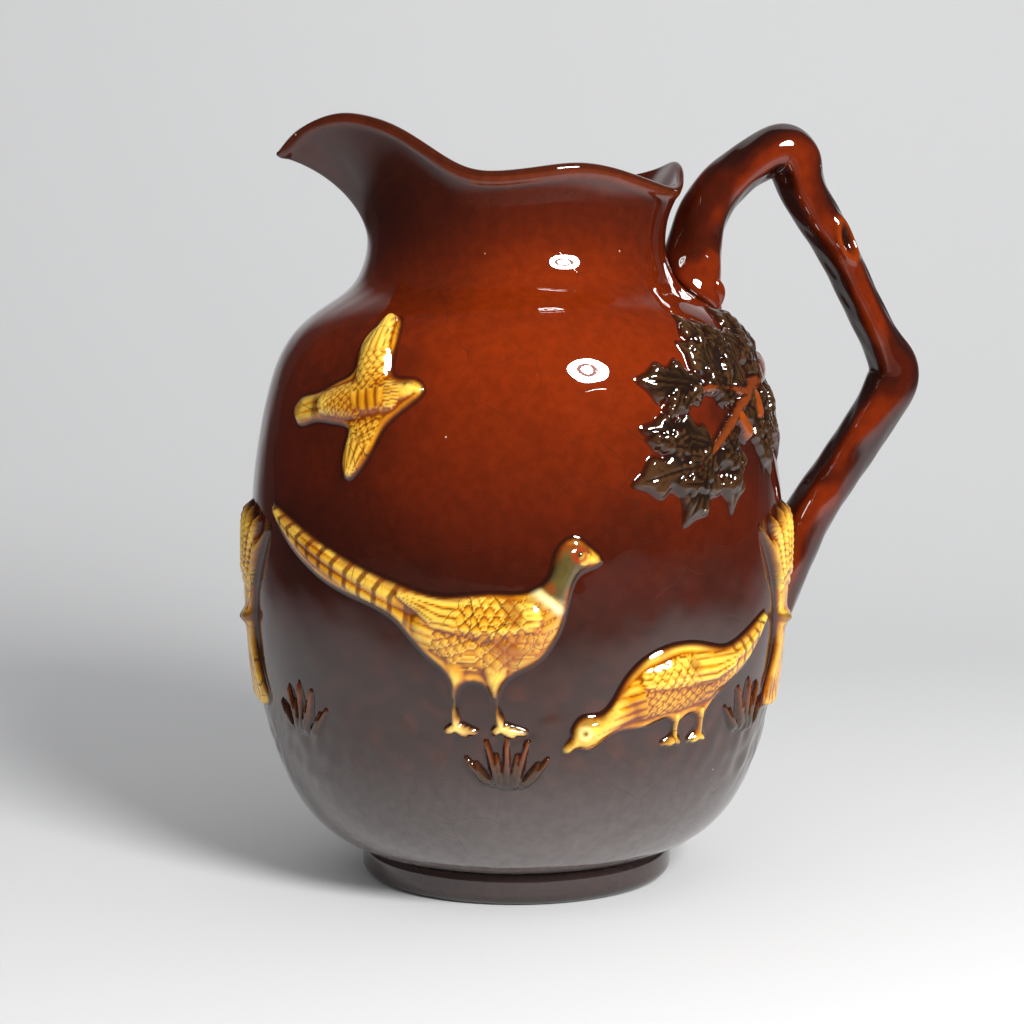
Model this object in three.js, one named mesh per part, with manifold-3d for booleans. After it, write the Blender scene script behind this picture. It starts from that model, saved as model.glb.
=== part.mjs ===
// A brown-glazed earthenware whisky jug with a beaked lip, a twig handle and moulded country reliefs.
// Millimetres, +Z up. The spout points to -X, the handle to +X, and the front looks along -Y.
import * as THREE from "three";
import { mergeVertices } from "three/addons/utils/BufferGeometryUtils.js";
import { TessellateModifier } from "three/addons/modifiers/TessellateModifier.js";
import Module from "manifold-3d";

// Clearances and fineness
const CLEARANCE = 0.3;
const SEGMENTS = 60;
const SMALLEST_SIZE = 0.001;
const KNOT_SIDES = 20;
const BUD_SIDES = 14;

// Foot ring
const FOOT_RADIUS = 39.5;
const FOOT_INNER_RADIUS = 32;
const FOOT_HEIGHT = 8;
const FOOT_EDGE_RADIUS = 3;

// Belly and neck
const BELLY_FOOT_RADIUS = 40.2;
const BELLY_RADIUS = 67;
const BELLY_MIDDLE = 80;
const NECK_RADIUS = 37.2;
const NECK_HEIGHT = 158;
const WALL = 3.4;
const BASE_RECESS = 6;
const FLOOR_THICKNESS = 5;

// Lip and spout
const LIP_THICKNESS = 2.4;
const LIP_RADIUS = 39.6;
const LIP_HEIGHT = 174;
const SPOUT_REACH = 59.6;
const SPOUT_HEIGHT = 189;
const SPOUT_TIP_HEIGHT = 180.3;
const BACK_LIP_RADIUS = 42.6;
const BACK_LIP_HEIGHT = 178.2;

// Handle: a bent twig with its ends spread on the jug
const HANDLE_WIDTH = 12.6;
const SLIP_THICKNESS = 1;
const UPPER_ROOT_HEIGHT = 149;
const LOWER_ROOT_HEIGHT = 78;
const SHOULDER_REACH = 11.8;
const SHOULDER_RISE = 17.5;
const LANDING_REACH = 10.5;
const LANDING_RISE = 10.5;
const TOP_ELBOW_REACH = 70.3;
const TOP_ELBOW_HEIGHT = 183.3;
const OUTER_ELBOW_REACH = 101.5;
const OUTER_ELBOW_HEIGHT = 128;
const KNOT_RADIUS = 4.2;
const KNOT_RISE = 1.4;
const KNOT_DEPTH = 3;
const KNOT_HOLLOW_RADIUS = 2;
const KNOT_ALONG_LIMB = 0.42;
const KNOT_TURN = 50;
const LIMB_DEPTH = 5.6;
const BUD_LENGTH = 7.6;
const BUD_RADIUS = 2.1;
const BUD_TURN = 50;
const BUD_DROP = 2;

// Reliefs
const RELIEF_STEP = 6;
const RELIEF_EDGE = 1;
const RELIEF_GAP = 0.45;
const BIRD_CROWN = 2.2;
const SHEAF_CROWN = 2;
const PLANT_CROWN = 1;
const CROWN_RUN = 5;
const COCK_LENGTH = 90;
const HEN_LENGTH = 64;
const PARTRIDGE_LENGTH = 42;
const SHEAF_HEIGHT = 50;
const BRANCH_LENGTH = 58;
const BRANCH_DROOP = 18;
const LEAF_LENGTH = 21;
const LEAF_WIDTH = 12.5;
const ACORN_LENGTH = 8.5;
const ACORN_WIDTH = 5.6;
const TUFT_HEIGHT = 16;
const PICTURE_HEIGHT = 46;
const HEN_DROP = 4;
const NEAR_TUFT_DROP = 15;
const FAR_TUFT_DROP = 7;
const PARTRIDGE_HEIGHT = 104;
const SPRAY_HEIGHT = 130;

const wasm = await Module();
wasm.setup();

const glaze = new THREE.MeshStandardMaterial({ color: 0x6e2410, roughness: 0.12, metalness: 0 });
const darkGlaze = new THREE.MeshStandardMaterial({ color: 0x3a2018, roughness: 0.15, metalness: 0 });
const ochreGlaze = new THREE.MeshStandardMaterial({ color: 0xd99a2b, roughness: 0.15, metalness: 0 });
const leafGlaze = new THREE.MeshStandardMaterial({ color: 0x3b2a16, roughness: 0.15, metalness: 0 });

// Evenly spaced numbers, both ends included
function spaced(from, to, count) {
  return Array.from({ length: count }, (_, i) => from + ((to - from) * i) / (count - 1));
}

// Closed skin over rings of equal length, with a fan at each end
function loft(rings) {
  const points = [];
  const faces = [];
  const size = rings[0].length;
  rings.forEach((ring) => ring.forEach((p) => points.push(p.x, p.y, p.z)));
  for (let i = 0; i + 1 < rings.length; i += 1) {
    for (let j = 0; j < size; j += 1) {
      const next = (j + 1) % size;
      const a = i * size + j;
      const b = i * size + next;
      faces.push(a, b, a + size, b, b + size, a + size);
    }
  }
  [0, rings.length - 1].forEach((end) => {
    const centre = new THREE.Vector3();
    rings[end].forEach((p) => centre.addScaledVector(p, 1 / size));
    const tip = points.length / 3;
    points.push(centre.x, centre.y, centre.z);
    for (let j = 0; j < size; j += 1) {
      const a = end * size + j;
      const b = end * size + ((j + 1) % size);
      faces.push(...(end === 0 ? [tip, b, a] : [tip, a, b]));
    }
  });
  const geometry = new THREE.BufferGeometry();
  geometry.setAttribute("position", new THREE.Float32BufferAttribute(points, 3));
  geometry.setIndex(faces);
  return geometry;
}

function bareGeometry(geometry) {
  geometry.deleteAttribute("normal");
  geometry.deleteAttribute("uv");
  return geometry;
}

// A manifold-3d solid from a geometry, and back
function solidOf(geometry) {
  const bare = mergeVertices(geometry.clone(), SMALLEST_SIZE);
  const vertProperties = new Float32Array(bare.attributes.position.array);
  const triVerts = new Uint32Array(bare.index.array);
  return new wasm.Manifold(new wasm.Mesh({ numProp: 3, vertProperties, triVerts }));
}

function geometryOf(solid) {
  const mesh = solid.getMesh();
  const geometry = new THREE.BufferGeometry();
  geometry.setAttribute("position", new THREE.BufferAttribute(mesh.vertProperties, 3));
  geometry.setIndex(new THREE.BufferAttribute(mesh.triVerts, 1));
  return geometry;
}

const jug = new THREE.Group();

function addPiece(name, geometry, material) {
  geometry.computeVertexNormals();
  const mesh = new THREE.Mesh(geometry, material);
  mesh.name = name;
  jug.add(mesh);
}

// Belly profile: each curve holds shares outwards and upwards between two named sizes
const LOWER_BELLY = [[0, 0], [0.28, 0.052], [0.61, 0.19], [0.85, 0.44], [0.985, 0.8]];
const UPPER_BELLY = [
  [1, 0.02], [0.99, 0.19], [0.93, 0.385], [0.85, 0.54], [0.75, 0.655],
  [0.607, 0.744], [0.362, 0.82], [0.1, 0.9], [0, 1],
];
const BELLY_FOOT_HEIGHT = FOOT_HEIGHT + CLEARANCE;

function bellyProfile() {
  const mix = THREE.MathUtils.lerp;
  const lower = LOWER_BELLY.map(([out, up]) => new THREE.Vector2(
    mix(BELLY_FOOT_RADIUS, BELLY_RADIUS, out),
    mix(BELLY_FOOT_HEIGHT, BELLY_MIDDLE, up),
  ));
  const upper = UPPER_BELLY.map(([out, up]) => new THREE.Vector2(
    mix(NECK_RADIUS, BELLY_RADIUS, out),
    mix(BELLY_MIDDLE, NECK_HEIGHT, up),
  ));
  return new THREE.SplineCurve([...lower, ...upper]);
}

const profile = bellyProfile();

// Rim places round the lip: turn from the handle in degrees, then the outer edge's x, y and z
const ROUND_RIM = [
  // turn, share towards the back lip, rise above the lip's height
  [-109, 0, 0], [-94, 0, 1], [-79, 0, 2], [-57, 0, 0], [-40, 0, -1.8], [-27, 0.3, -2.4],
  [-12, 0.7, 0.2], [0, 1, null], [12, 0.9, 3.6], [27, 0.5, 2], [57, 0, 0.5], [79, 0, 2],
  [94, 0, 1], [109, 0, 0],
];
const SPOUT_RIM = [
  // turn, share of the reach, share of the half width, share of the height
  [130, 0, 1, 0.27], [140, 0.213, 0.791, 0.65], [151, 0.415, 0.56, 0.91], [160, 0.594, 0.37, 1],
  [168, 0.76, 0.215, 0.91], [174.5, 0.905, 0.1, 0.68],
];

function rimKnots() {
  const mix = THREE.MathUtils.lerp;
  const round = ROUND_RIM.map(([turn, back, rise]) => {
    const radius = mix(LIP_RADIUS, BACK_LIP_RADIUS, back);
    const angle = THREE.MathUtils.degToRad(turn);
    const z = rise === null ? BACK_LIP_HEIGHT : LIP_HEIGHT + rise;
    return [turn, radius * Math.cos(angle), radius * Math.sin(angle), z];
  });
  const start = THREE.MathUtils.degToRad(SPOUT_RIM[0][0]);
  const side = SPOUT_RIM.map(([turn, out, half, up]) => [
    turn,
    mix(LIP_RADIUS * Math.cos(start), -SPOUT_REACH, out),
    LIP_RADIUS * Math.sin(start) * half,
    mix(LIP_HEIGHT, SPOUT_HEIGHT, up),
  ]);
  const tip = [180, -SPOUT_REACH, 0, SPOUT_TIP_HEIGHT];
  const mirrored = side.map(([turn, x, y, z]) => [-turn, x, -y, z]).reverse();
  return [...mirrored, ...round, ...side, tip];
}

const rim = rimKnots();

// Smooth value on a closed row of knots: a cubic between each two, its slopes from the neighbours
function smoothRim(turn) {
  const count = rim.length;
  const knot = (i) => {
    const laps = Math.floor(i / count);
    const k = rim[i - laps * count];
    return [k[0] + 360 * laps, k[1], k[2], k[3]];
  };
  let i = 0;
  let wanted = turn;
  while (wanted < rim[0][0]) wanted += 360;
  while (wanted >= rim[0][0] + 360) wanted -= 360;
  while (knot(i + 1)[0] <= wanted) i += 1;
  const [before, from, to, after] = [knot(i - 1), knot(i), knot(i + 1), knot(i + 2)];
  const span = to[0] - from[0];
  const s = (wanted - from[0]) / span;
  const values = [1, 2, 3].map((axis) => {
    const slopeFrom = (span * (to[axis] - before[axis])) / (to[0] - before[0]);
    const slopeTo = (span * (after[axis] - from[axis])) / (after[0] - from[0]);
    return (
      (1 + 2 * s) * (1 - s) ** 2 * from[axis] + s * (1 - s) ** 2 * slopeFrom +
      s * s * (3 - 2 * s) * to[axis] + s * s * (s - 1) * slopeTo
    );
  });
  return new THREE.Vector3(...values);
}

// How far the lip leans out at its edge, in degrees, and how full its curve is
const SIDE_LEAN = 24;
const BACK_LEAN = 34;
const SPOUT_SIDE_LEAN = 34;
const TIP_LEAN = 77;
const CURVE_START = 0.45;
const CURVE_END = 0.38;

function lipLean(turn) {
  const fromTip = 180 - Math.abs(turn);
  const bump = (distance, width) => Math.exp(-((distance / width) ** 2));
  const spout = (SPOUT_SIDE_LEAN - SIDE_LEAN) * bump(fromTip, 40);
  const tip = (TIP_LEAN - SPOUT_SIDE_LEAN) * bump(fromTip, 11);
  const back = (BACK_LEAN - SIDE_LEAN) * bump(turn, 25);
  return THREE.MathUtils.degToRad(SIDE_LEAN + spout + tip + back);
}

// Lip curve of one meridian, from the neck up to the rim
function lipCurve(turn) {
  const angle = THREE.MathUtils.degToRad(turn);
  const neck = new THREE.Vector3(NECK_RADIUS * Math.cos(angle), NECK_RADIUS * Math.sin(angle), NECK_HEIGHT);
  const edge = smoothRim(turn);
  const out = new THREE.Vector3(edge.x - neck.x, edge.y - neck.y, 0).normalize();
  const lean = lipLean(turn);
  const along = out.multiplyScalar(Math.sin(lean));
  along.z = Math.cos(lean);
  const start = neck.clone();
  start.z += CURVE_START * (edge.z - neck.z);
  const end = edge.clone().addScaledVector(along, -CURVE_END * edge.distanceTo(neck));
  return new THREE.CubicBezierCurve3(neck, start, end, edge);
}

// Outer surface of the jug: height 0 to 1 on the belly and neck, 1 to 2 on the lip
function outerPoint(turn, height) {
  if (height > 1) return lipCurve(turn).getPoint(height - 1);
  const p = profile.getPoint(height);
  const angle = THREE.MathUtils.degToRad(turn);
  return new THREE.Vector3(p.x * Math.cos(angle), p.x * Math.sin(angle), p.y);
}

// Outward direction, from two short steps on the surface
function outwardNormal(turn, height) {
  const step = 0.02;
  const top = height > 1 ? 2 : 1;
  const bottom = height > 1 ? 1 : 0;
  const up = outerPoint(turn, Math.min(height + step, top))
    .sub(outerPoint(turn, Math.max(height - step, bottom + SMALLEST_SIZE)));
  const round = outerPoint(turn + 1, height).sub(outerPoint(turn - 1, height));
  return round.cross(up).normalize();
}

const TURNS = spaced(-180, 180, SEGMENTS + 1).slice(0, -1);
const flatRing = (radius, z) => TURNS.map((turn) => {
  const angle = THREE.MathUtils.degToRad(turn);
  return new THREE.Vector3(radius * Math.cos(angle), radius * Math.sin(angle), z);
});
const surfaceRing = (height, offset) => TURNS.map((turn) => (
  outerPoint(turn, height).addScaledVector(outwardNormal(turn, height), offset)
));

const OUTSIDE_HEIGHTS = [...spaced(0, 1, 19), ...spaced(1.15, 2, 7)];

// Jug body: belly, neck, lip and spout in one hollow piece
function jugBody() {
  const recessRadius = FOOT_INNER_RADIUS - CLEARANCE;
  const base = [
    flatRing(recessRadius, BASE_RECESS),
    flatRing(recessRadius, BELLY_FOOT_HEIGHT),
  ];
  const outside = OUTSIDE_HEIGHTS.map((height) => surfaceRing(height, 0));
  const bead = [45, 90, 135].map((degrees) => TURNS.map((turn) => {
    const roll = THREE.MathUtils.degToRad(degrees);
    const inward = outwardNormal(turn, 2).multiplyScalar(-0.5 * LIP_THICKNESS * (1 - Math.cos(roll)));
    const along = lipCurve(turn).getTangent(1).multiplyScalar(0.5 * LIP_THICKNESS * Math.sin(roll));
    return outerPoint(turn, 2).add(inward).add(along);
  }));
  const lipInside = spaced(2, 1.15, 5).map((height) => {
    const wall = THREE.MathUtils.lerp(WALL, LIP_THICKNESS, height - 1);
    return surfaceRing(height, -wall);
  });
  const bellyInside = spaced(1, 0.2, 10).map((height) => surfaceRing(height, -WALL));
  const floorHeight = BASE_RECESS + FLOOR_THICKNESS;
  const floor = flatRing(BELLY_FOOT_RADIUS - WALL, floorHeight);
  return loft([...base, ...outside, ...bead, ...lipInside, ...bellyInside, floor]);
}

// Everything within the jug's outer surface grown by an offset, used to fit the handle to it
function jugEnvelope(offset) {
  return solidOf(loft(OUTSIDE_HEIGHTS.map((height) => surfaceRing(height, offset))));
}

// Foot ring with a rounded lower edge
function footRing() {
  const edge = spaced(-90, 0, 5).map((degrees) => {
    const roll = THREE.MathUtils.degToRad(degrees);
    return new THREE.Vector2(
      FOOT_RADIUS - FOOT_EDGE_RADIUS * (1 - Math.cos(roll)),
      FOOT_EDGE_RADIUS * (1 + Math.sin(roll)),
    );
  });
  const section = [
    new THREE.Vector2(FOOT_INNER_RADIUS, 0),
    ...edge,
    new THREE.Vector2(FOOT_RADIUS, FOOT_HEIGHT),
    new THREE.Vector2(FOOT_INNER_RADIUS, FOOT_HEIGHT),
    new THREE.Vector2(FOOT_INNER_RADIUS, 0),
  ];
  const ring = new THREE.LatheGeometry(section, SEGMENTS);
  ring.rotateX(Math.PI / 2);
  return ring;
}

// Spine of the handle: rows of shares outwards and upwards between two named places, then the half depth
// and half width there as shares of the handle's width
const ROOT_ROWS = [[0.576, -0.457, 0.675, 0.738], [0.703, 0, 0.635, 0.675], [0.797, 0.514, 0.556, 0.595]];
const SHOULDER_ROWS = [[0, 0, 0.508, 0.532], [0.33, 0.565, 0.476, 0.5], [0.68, 0.88, 0.476, 0.5]];
const OUTER_ROWS = [
  [0, 0, 0.556, 0.5], [0.14, 0.14, 0.492, 0.5], [0.32, 0.32, 0.444, 0.5], [0.5, 0.5, 0.389, 0.5],
  [0.78, 0.78, 0.381, 0.5], [0.93, 0.93, 0.444, 0.5],
];
const LOWER_ROWS = [
  [0, 0, 0.532, 0.5], [0.19, 0.28, 0.492, 0.5], [0.4, 0.46, 0.484, 0.5], [0.73, 0.75, 0.476, 0.5],
];
const FOOT_ROWS = [
  [1, 1, 0.5, 0.54], [0.667, 0.19, 0.476, 0.563], [0.381, -0.667, 0.397, 0.5], [0.171, -1.43, 0.317, 0.341],
  [0, -2, 0.206, 0.183],
];

// Spine places in the plane of the jug's axis: reach, height, half depth in that plane, half width across
function handleSpine() {
  const root = [NECK_RADIUS, UPPER_ROOT_HEIGHT];
  const shoulder = [root[0] + SHOULDER_REACH, root[1] + SHOULDER_RISE];
  const top = [TOP_ELBOW_REACH, TOP_ELBOW_HEIGHT];
  const elbow = [OUTER_ELBOW_REACH, OUTER_ELBOW_HEIGHT];
  const foot = [BELLY_RADIUS, LOWER_ROOT_HEIGHT];
  const landing = [foot[0] + LANDING_REACH, foot[1] + LANDING_RISE];
  const between = (from, to, rows) => rows.map(([out, up, depth, width]) => [
    THREE.MathUtils.lerp(from[0], to[0], out),
    THREE.MathUtils.lerp(from[1], to[1], up),
    depth * HANDLE_WIDTH,
    width * HANDLE_WIDTH,
  ]);
  return [
    ...between(root, shoulder, ROOT_ROWS),
    ...between(shoulder, top, SHOULDER_ROWS),
    ...between(top, elbow, OUTER_ROWS),
    ...between(elbow, landing, LOWER_ROWS),
    ...between(foot, landing, FOOT_ROWS),
  ];
}

const SPINE = handleSpine();
const SECTION_SIDES = 14;
const SPINE_STEPS = 44;

const spinePoints = SPINE.map(([x, z]) => new THREE.Vector3(x, 0, z));
const spineCurve = new THREE.CatmullRomCurve3(spinePoints, false, "catmullrom", 0.5);

function spineSize(t) {
  const place = t * (SPINE.length - 1);
  const i = Math.min(Math.floor(place), SPINE.length - 2);
  const share = place - i;
  return [2, 3].map((k) => THREE.MathUtils.lerp(SPINE[i][k], SPINE[i + 1][k], share));
}

function twigSolid() {
  const rings = spaced(0, 1, SPINE_STEPS).map((t) => {
    const centre = spineCurve.getPoint(t);
    const along = spineCurve.getTangent(t);
    const normal = new THREE.Vector3(-along.z, 0, along.x);
    const [depth, width] = spineSize(t);
    return Array.from({ length: SECTION_SIDES }, (_, i) => {
      const angle = (2 * Math.PI * i) / SECTION_SIDES;
      const point = centre.clone().addScaledVector(normal, depth * Math.cos(angle));
      point.y = -width * Math.sin(angle);
      return point;
    });
  });
  return solidOf(loft(rings));
}

// Knot: the raised ring and hollow of a cut side twig, set in the outer limb and facing out and forwards
function knotPlace() {
  const top = new THREE.Vector3(TOP_ELBOW_REACH, 0, TOP_ELBOW_HEIGHT);
  const limb = new THREE.Vector3(OUTER_ELBOW_REACH, 0, OUTER_ELBOW_HEIGHT).sub(top);
  const centre = top.addScaledVector(limb, KNOT_ALONG_LIMB);
  const turn = THREE.MathUtils.degToRad(KNOT_TURN);
  const across = new THREE.Vector3(-limb.z, 0, limb.x).normalize();
  const facing = across.multiplyScalar(Math.sin(turn)).add(new THREE.Vector3(0, -Math.cos(turn), 0));
  const face = centre.addScaledVector(facing, LIMB_DEPTH);
  const turned = new THREE.Quaternion().setFromUnitVectors(new THREE.Vector3(0, 1, 0), facing);
  return new THREE.Matrix4().compose(face, turned, new THREE.Vector3(1, 1, 1));
}

function knotGeometry() {
  const section = [
    new THREE.Vector2(0, -KNOT_DEPTH),
    new THREE.Vector2(KNOT_RADIUS, -KNOT_DEPTH),
    new THREE.Vector2(KNOT_RADIUS, 0),
    new THREE.Vector2(0.85 * KNOT_RADIUS, 0.7 * KNOT_RISE),
    new THREE.Vector2(0.68 * KNOT_RADIUS, KNOT_RISE),
    new THREE.Vector2(KNOT_HOLLOW_RADIUS, 0.8 * KNOT_RISE),
    new THREE.Vector2(0.6 * KNOT_HOLLOW_RADIUS, -0.3 * KNOT_RISE),
    new THREE.Vector2(0, -0.3 * KNOT_RISE),
  ];
  return new THREE.LatheGeometry(section, KNOT_SIDES).applyMatrix4(knotPlace());
}

// Room for the knot in the limb, open towards its face
function knotSeat() {
  const radius = KNOT_RADIUS + CLEARANCE;
  const length = 2 * LIMB_DEPTH;
  const seat = new THREE.CylinderGeometry(radius, radius, length, KNOT_SIDES);
  seat.translate(0, 0.5 * length - KNOT_DEPTH - CLEARANCE, 0);
  return solidOf(bareGeometry(seat.applyMatrix4(knotPlace())));
}

// Bud: a plump upright bud that hugs the front of the upper root, and the room for it in the root
function budGeometry(grow) {
  const radius = BUD_RADIUS + grow;
  const length = BUD_LENGTH + 2 * grow;
  const section = spaced(0, 1, 9).map((t) => (
    new THREE.Vector2(t % 1 === 0 ? 0 : radius * Math.sin(Math.PI * t) ** 0.7, (t - 0.5) * length)
  ));
  const [x, z, depth, width] = SPINE[1];
  const turn = THREE.MathUtils.degToRad(BUD_TURN);
  const bud = new THREE.LatheGeometry(section, BUD_SIDES);
  bud.rotateX(0.5 * Math.PI);
  bud.translate(x + depth * Math.cos(turn), -width * Math.sin(turn), z - BUD_DROP);
  return bud;
}

// Reliefs: flat outlines in percent of each motif's own length, x to the right and y up, feet at y = 0
const COCK_OUTLINE = [
  [100, 45.5], [97, 49], [93, 51.5], [89, 48.5], [87, 42], [82, 38], [72, 37.5], [60, 36.5], [50, 38.5],
  [30, 45.5], [0, 56], [26, 38.5], [48, 29.5], [55, 22], [60.5, 17], [61.2, 8], [59, 2], [64, 0.3],
  [68.5, 1.5], [64.4, 4.5], [64.8, 14.5], [70, 14.5], [72.5, 7.5], [72, 2], [77.5, 0.3], [81.5, 1.5],
  [76, 4.5], [75.5, 15.5], [83, 20], [88.5, 27], [91.5, 36], [94, 42.5], [96.5, 43.8],
];
const HEN_OUTLINE = [
  [0, 2.5], [4, 8.5], [10, 13], [16, 21], [26, 31], [40, 37.5], [55, 37.5], [68, 35], [84, 39.5],
  [100, 44], [88, 31], [73, 21.5], [63, 14.5], [60, 7], [62, 1.5], [57, 0.2], [52.5, 1.2], [56, 4],
  [55.5, 11.5], [49.5, 10.8], [47.5, 6], [49, 1.5], [44, 0.2], [39.5, 1.2], [43.5, 4], [43.5, 10.5],
  [32, 9], [22, 8.5], [13, 5.5], [7, 3.5], [3, 1],
];
const PARTRIDGE_OUTLINE = [
  [100, 51], [95, 56.5], [87, 57], [80, 58], [76, 72], [66, 97], [55, 90], [49, 74], [50, 61], [38, 54],
  [20, 47], [2, 40], [5, 31], [22, 32], [38, 32], [52, 29], [50, 14], [54, 2], [67, 12], [77, 30],
  [88, 40], [96, 46],
];

// Smooth closed outline through points given in percent of a length
function smoothOutline(points, length) {
  const percent = 0.01 * length;
  const knots = points.map(([x, y]) => new THREE.Vector3((x - 50) * percent, y * percent, 0));
  const curve = new THREE.CatmullRomCurve3(knots, true, "catmullrom", 0.5);
  return curve.getPoints(points.length).slice(0, -1).map((p) => [p.x, p.y]);
}

// Sheaf: splayed stalks below the tie and a fan of ears above it
const SHEAF_EARS = 7;
const SHEAF_SPLAY = 34;
const LONG_EAR = 0.62;
const SHORT_EAR = 0.5;
const TIE_HEIGHT = 0.38;

function sheafOutline(height) {
  const base = [[-0.2, 0.02], [-0.1, 0], [0, 0.015], [0.1, 0], [0.2, 0.02]];
  const right = [[0.13, 0.2], [0.095, 0.42], [0.13, 0.56]];
  const ears = Array.from({ length: 2 * SHEAF_EARS - 1 }, (_, i) => {
    const fan = THREE.MathUtils.degToRad(SHEAF_SPLAY * (1 - i / (SHEAF_EARS - 1)));
    const reach = i % 2 === 0 ? LONG_EAR : SHORT_EAR;
    return [reach * Math.sin(fan), TIE_HEIGHT + reach * Math.cos(fan)];
  });
  const left = right.map(([x, y]) => [-x, y]).reverse();
  return [...base, ...right, ...ears, ...left].map(([x, y]) => [x * height, y * height]);
}

// Oak leaf: a midrib along x with lobes on both sides
const LEAF_LOBES = 3;
const LOBE_DEPTH = 0.22;
const LEAF_STALK = 0.08;

function leafOutline(length, width) {
  const side = spaced(0, 1, 8).map((t) => {
    const swell = Math.sin(Math.PI * t ** 0.8) ** 0.7;
    const lobes = 1 + LOBE_DEPTH * Math.cos(2 * Math.PI * LEAF_LOBES * (t - LEAF_STALK));
    return [t * length, 0.5 * width * Math.max(LEAF_STALK, (swell * lobes) / (1 + LOBE_DEPTH))];
  });
  const below = side.map(([x, y]) => [x, -y]);
  return [...below, ...side.reverse()];
}

// Branch: a tapering stem with one side shoot, as shares of its length
const BRANCH_OUTLINE = [
  [0, -0.045], [0.2, -0.02], [0.42, 0.005], [0.6, -0.015], [0.8, -0.075], [1, -0.12], [0.81, -0.04],
  [0.62, 0.03], [0.72, 0.12], [0.84, 0.17], [0.7, 0.155], [0.55, 0.07], [0.42, 0.065], [0.22, 0.045],
  [0, 0.045],
];

// Oak spray: leaves and acorns along the branch, as shares of its length and a direction in degrees
const OAK_LEAVES = [
  [0.08, 0.02, 75], [0.15, -0.01, -80], [0.2, 0.03, 48], [0.3, 0.035, 110], [0.34, 0.02, -62],
  [0.46, 0.01, -95], [0.48, 0.05, 80], [0.54, 0.01, -128], [0.6, 0.06, 58], [0.7, -0.02, -65],
  [0.7, 0.12, 100], [0.78, 0.154, 25], [0.84, -0.07, -38], [0.86, -0.06, 30], [0.93, -0.1, 5],
];
const ACORNS = [[0.45, -0.04, 15], [0.62, -0.065, -20]];

function placed(outline, x, y, degrees) {
  const angle = THREE.MathUtils.degToRad(degrees);
  return outline.map(([px, py]) => [
    x + px * Math.cos(angle) - py * Math.sin(angle),
    y + px * Math.sin(angle) + py * Math.cos(angle),
  ]);
}

function oakSprayOutlines(length) {
  const branch = BRANCH_OUTLINE.map(([x, y]) => [x * length, y * length]);
  const leaves = OAK_LEAVES.map(([x, y, direction]) => (
    placed(leafOutline(LEAF_LENGTH, LEAF_WIDTH), x * length, y * length, direction)
  ));
  const acorns = ACORNS.map(([x, y, direction]) => (
    placed(acornOutline(ACORN_LENGTH, ACORN_WIDTH), x * length, y * length, direction)
  ));
  return [branch, ...leaves, ...acorns].map((outline) => placed(outline, 0, 0, -BRANCH_DROOP));
}

function acornOutline(length, width) {
  return spaced(0, 1, 11).slice(0, -1).map((t) => {
    const angle = 2 * Math.PI * t;
    return [0.5 * width * Math.sin(angle), 0.5 * length * Math.cos(angle)];
  });
}

// Grass tuft: blades that fan out from a narrow root
const TUFT_BLADES = 5;
const TUFT_SPREAD = 0.62;
const TUFT_ROOT = 0.28;
const TUFT_GAP = 0.42;

function tuftOutline(height) {
  const blades = spaced(-1, 1, 2 * TUFT_BLADES - 1).map((place, i) => {
    const gap = [TUFT_ROOT * place * height, TUFT_GAP * height];
    const point = [TUFT_SPREAD * place * height, height * (1 - 0.35 * place * place)];
    return i % 2 === 0 ? point : gap;
  });
  return [[TUFT_ROOT * height, 0], ...blades.reverse(), [-TUFT_ROOT * height, 0]];
}

// Length along the belly profile, measured up from the foot
const PROFILE_SAMPLES = spaced(0, 1, 401).map((t) => profile.getPoint(t));
const PROFILE_LENGTHS = [0];
PROFILE_SAMPLES.slice(1).forEach((p, i) => {
  PROFILE_LENGTHS.push(PROFILE_LENGTHS[i] + p.distanceTo(PROFILE_SAMPLES[i]));
});
const sampleAtHeight = (z) => PROFILE_SAMPLES.findIndex((p) => p.y >= z);

// Point and outward direction on the belly, from a turn in degrees and a length along its profile
function bellyPlace(turn, length) {
  let i = PROFILE_LENGTHS.findIndex((value) => value > length);
  i = i < 1 ? PROFILE_SAMPLES.length - 1 : i;
  const share = (length - PROFILE_LENGTHS[i - 1]) / (PROFILE_LENGTHS[i] - PROFILE_LENGTHS[i - 1]);
  const p = PROFILE_SAMPLES[i - 1].clone().lerp(PROFILE_SAMPLES[i], share);
  const along = PROFILE_SAMPLES[i].clone().sub(PROFILE_SAMPLES[i - 1]).normalize();
  const angle = THREE.MathUtils.degToRad(turn);
  const point = new THREE.Vector3(p.x * Math.cos(angle), p.x * Math.sin(angle), p.y);
  const out = new THREE.Vector3(along.y * Math.cos(angle), along.y * Math.sin(angle), -along.x);
  return [point, out];
}

function distanceToOutline(x, y, outline) {
  let nearest = Infinity;
  outline.forEach(([ax, ay], i) => {
    const [bx, by] = outline[(i + 1) % outline.length];
    const along = [bx - ax, by - ay];
    const square = along[0] ** 2 + along[1] ** 2;
    const share = THREE.MathUtils.clamp(((x - ax) * along[0] + (y - ay) * along[1]) / square, 0, 1);
    nearest = Math.min(nearest, Math.hypot(x - ax - share * along[0], y - ay - share * along[1]));
  });
  return nearest;
}

function isInside(x, y, outline) {
  let inside = false;
  outline.forEach(([ax, ay], i) => {
    const [bx, by] = outline[(i + 1) % outline.length];
    if (ay > y !== by > y && x < ax + ((bx - ax) * (y - ay)) / (by - ay)) inside = !inside;
  });
  return inside;
}

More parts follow.
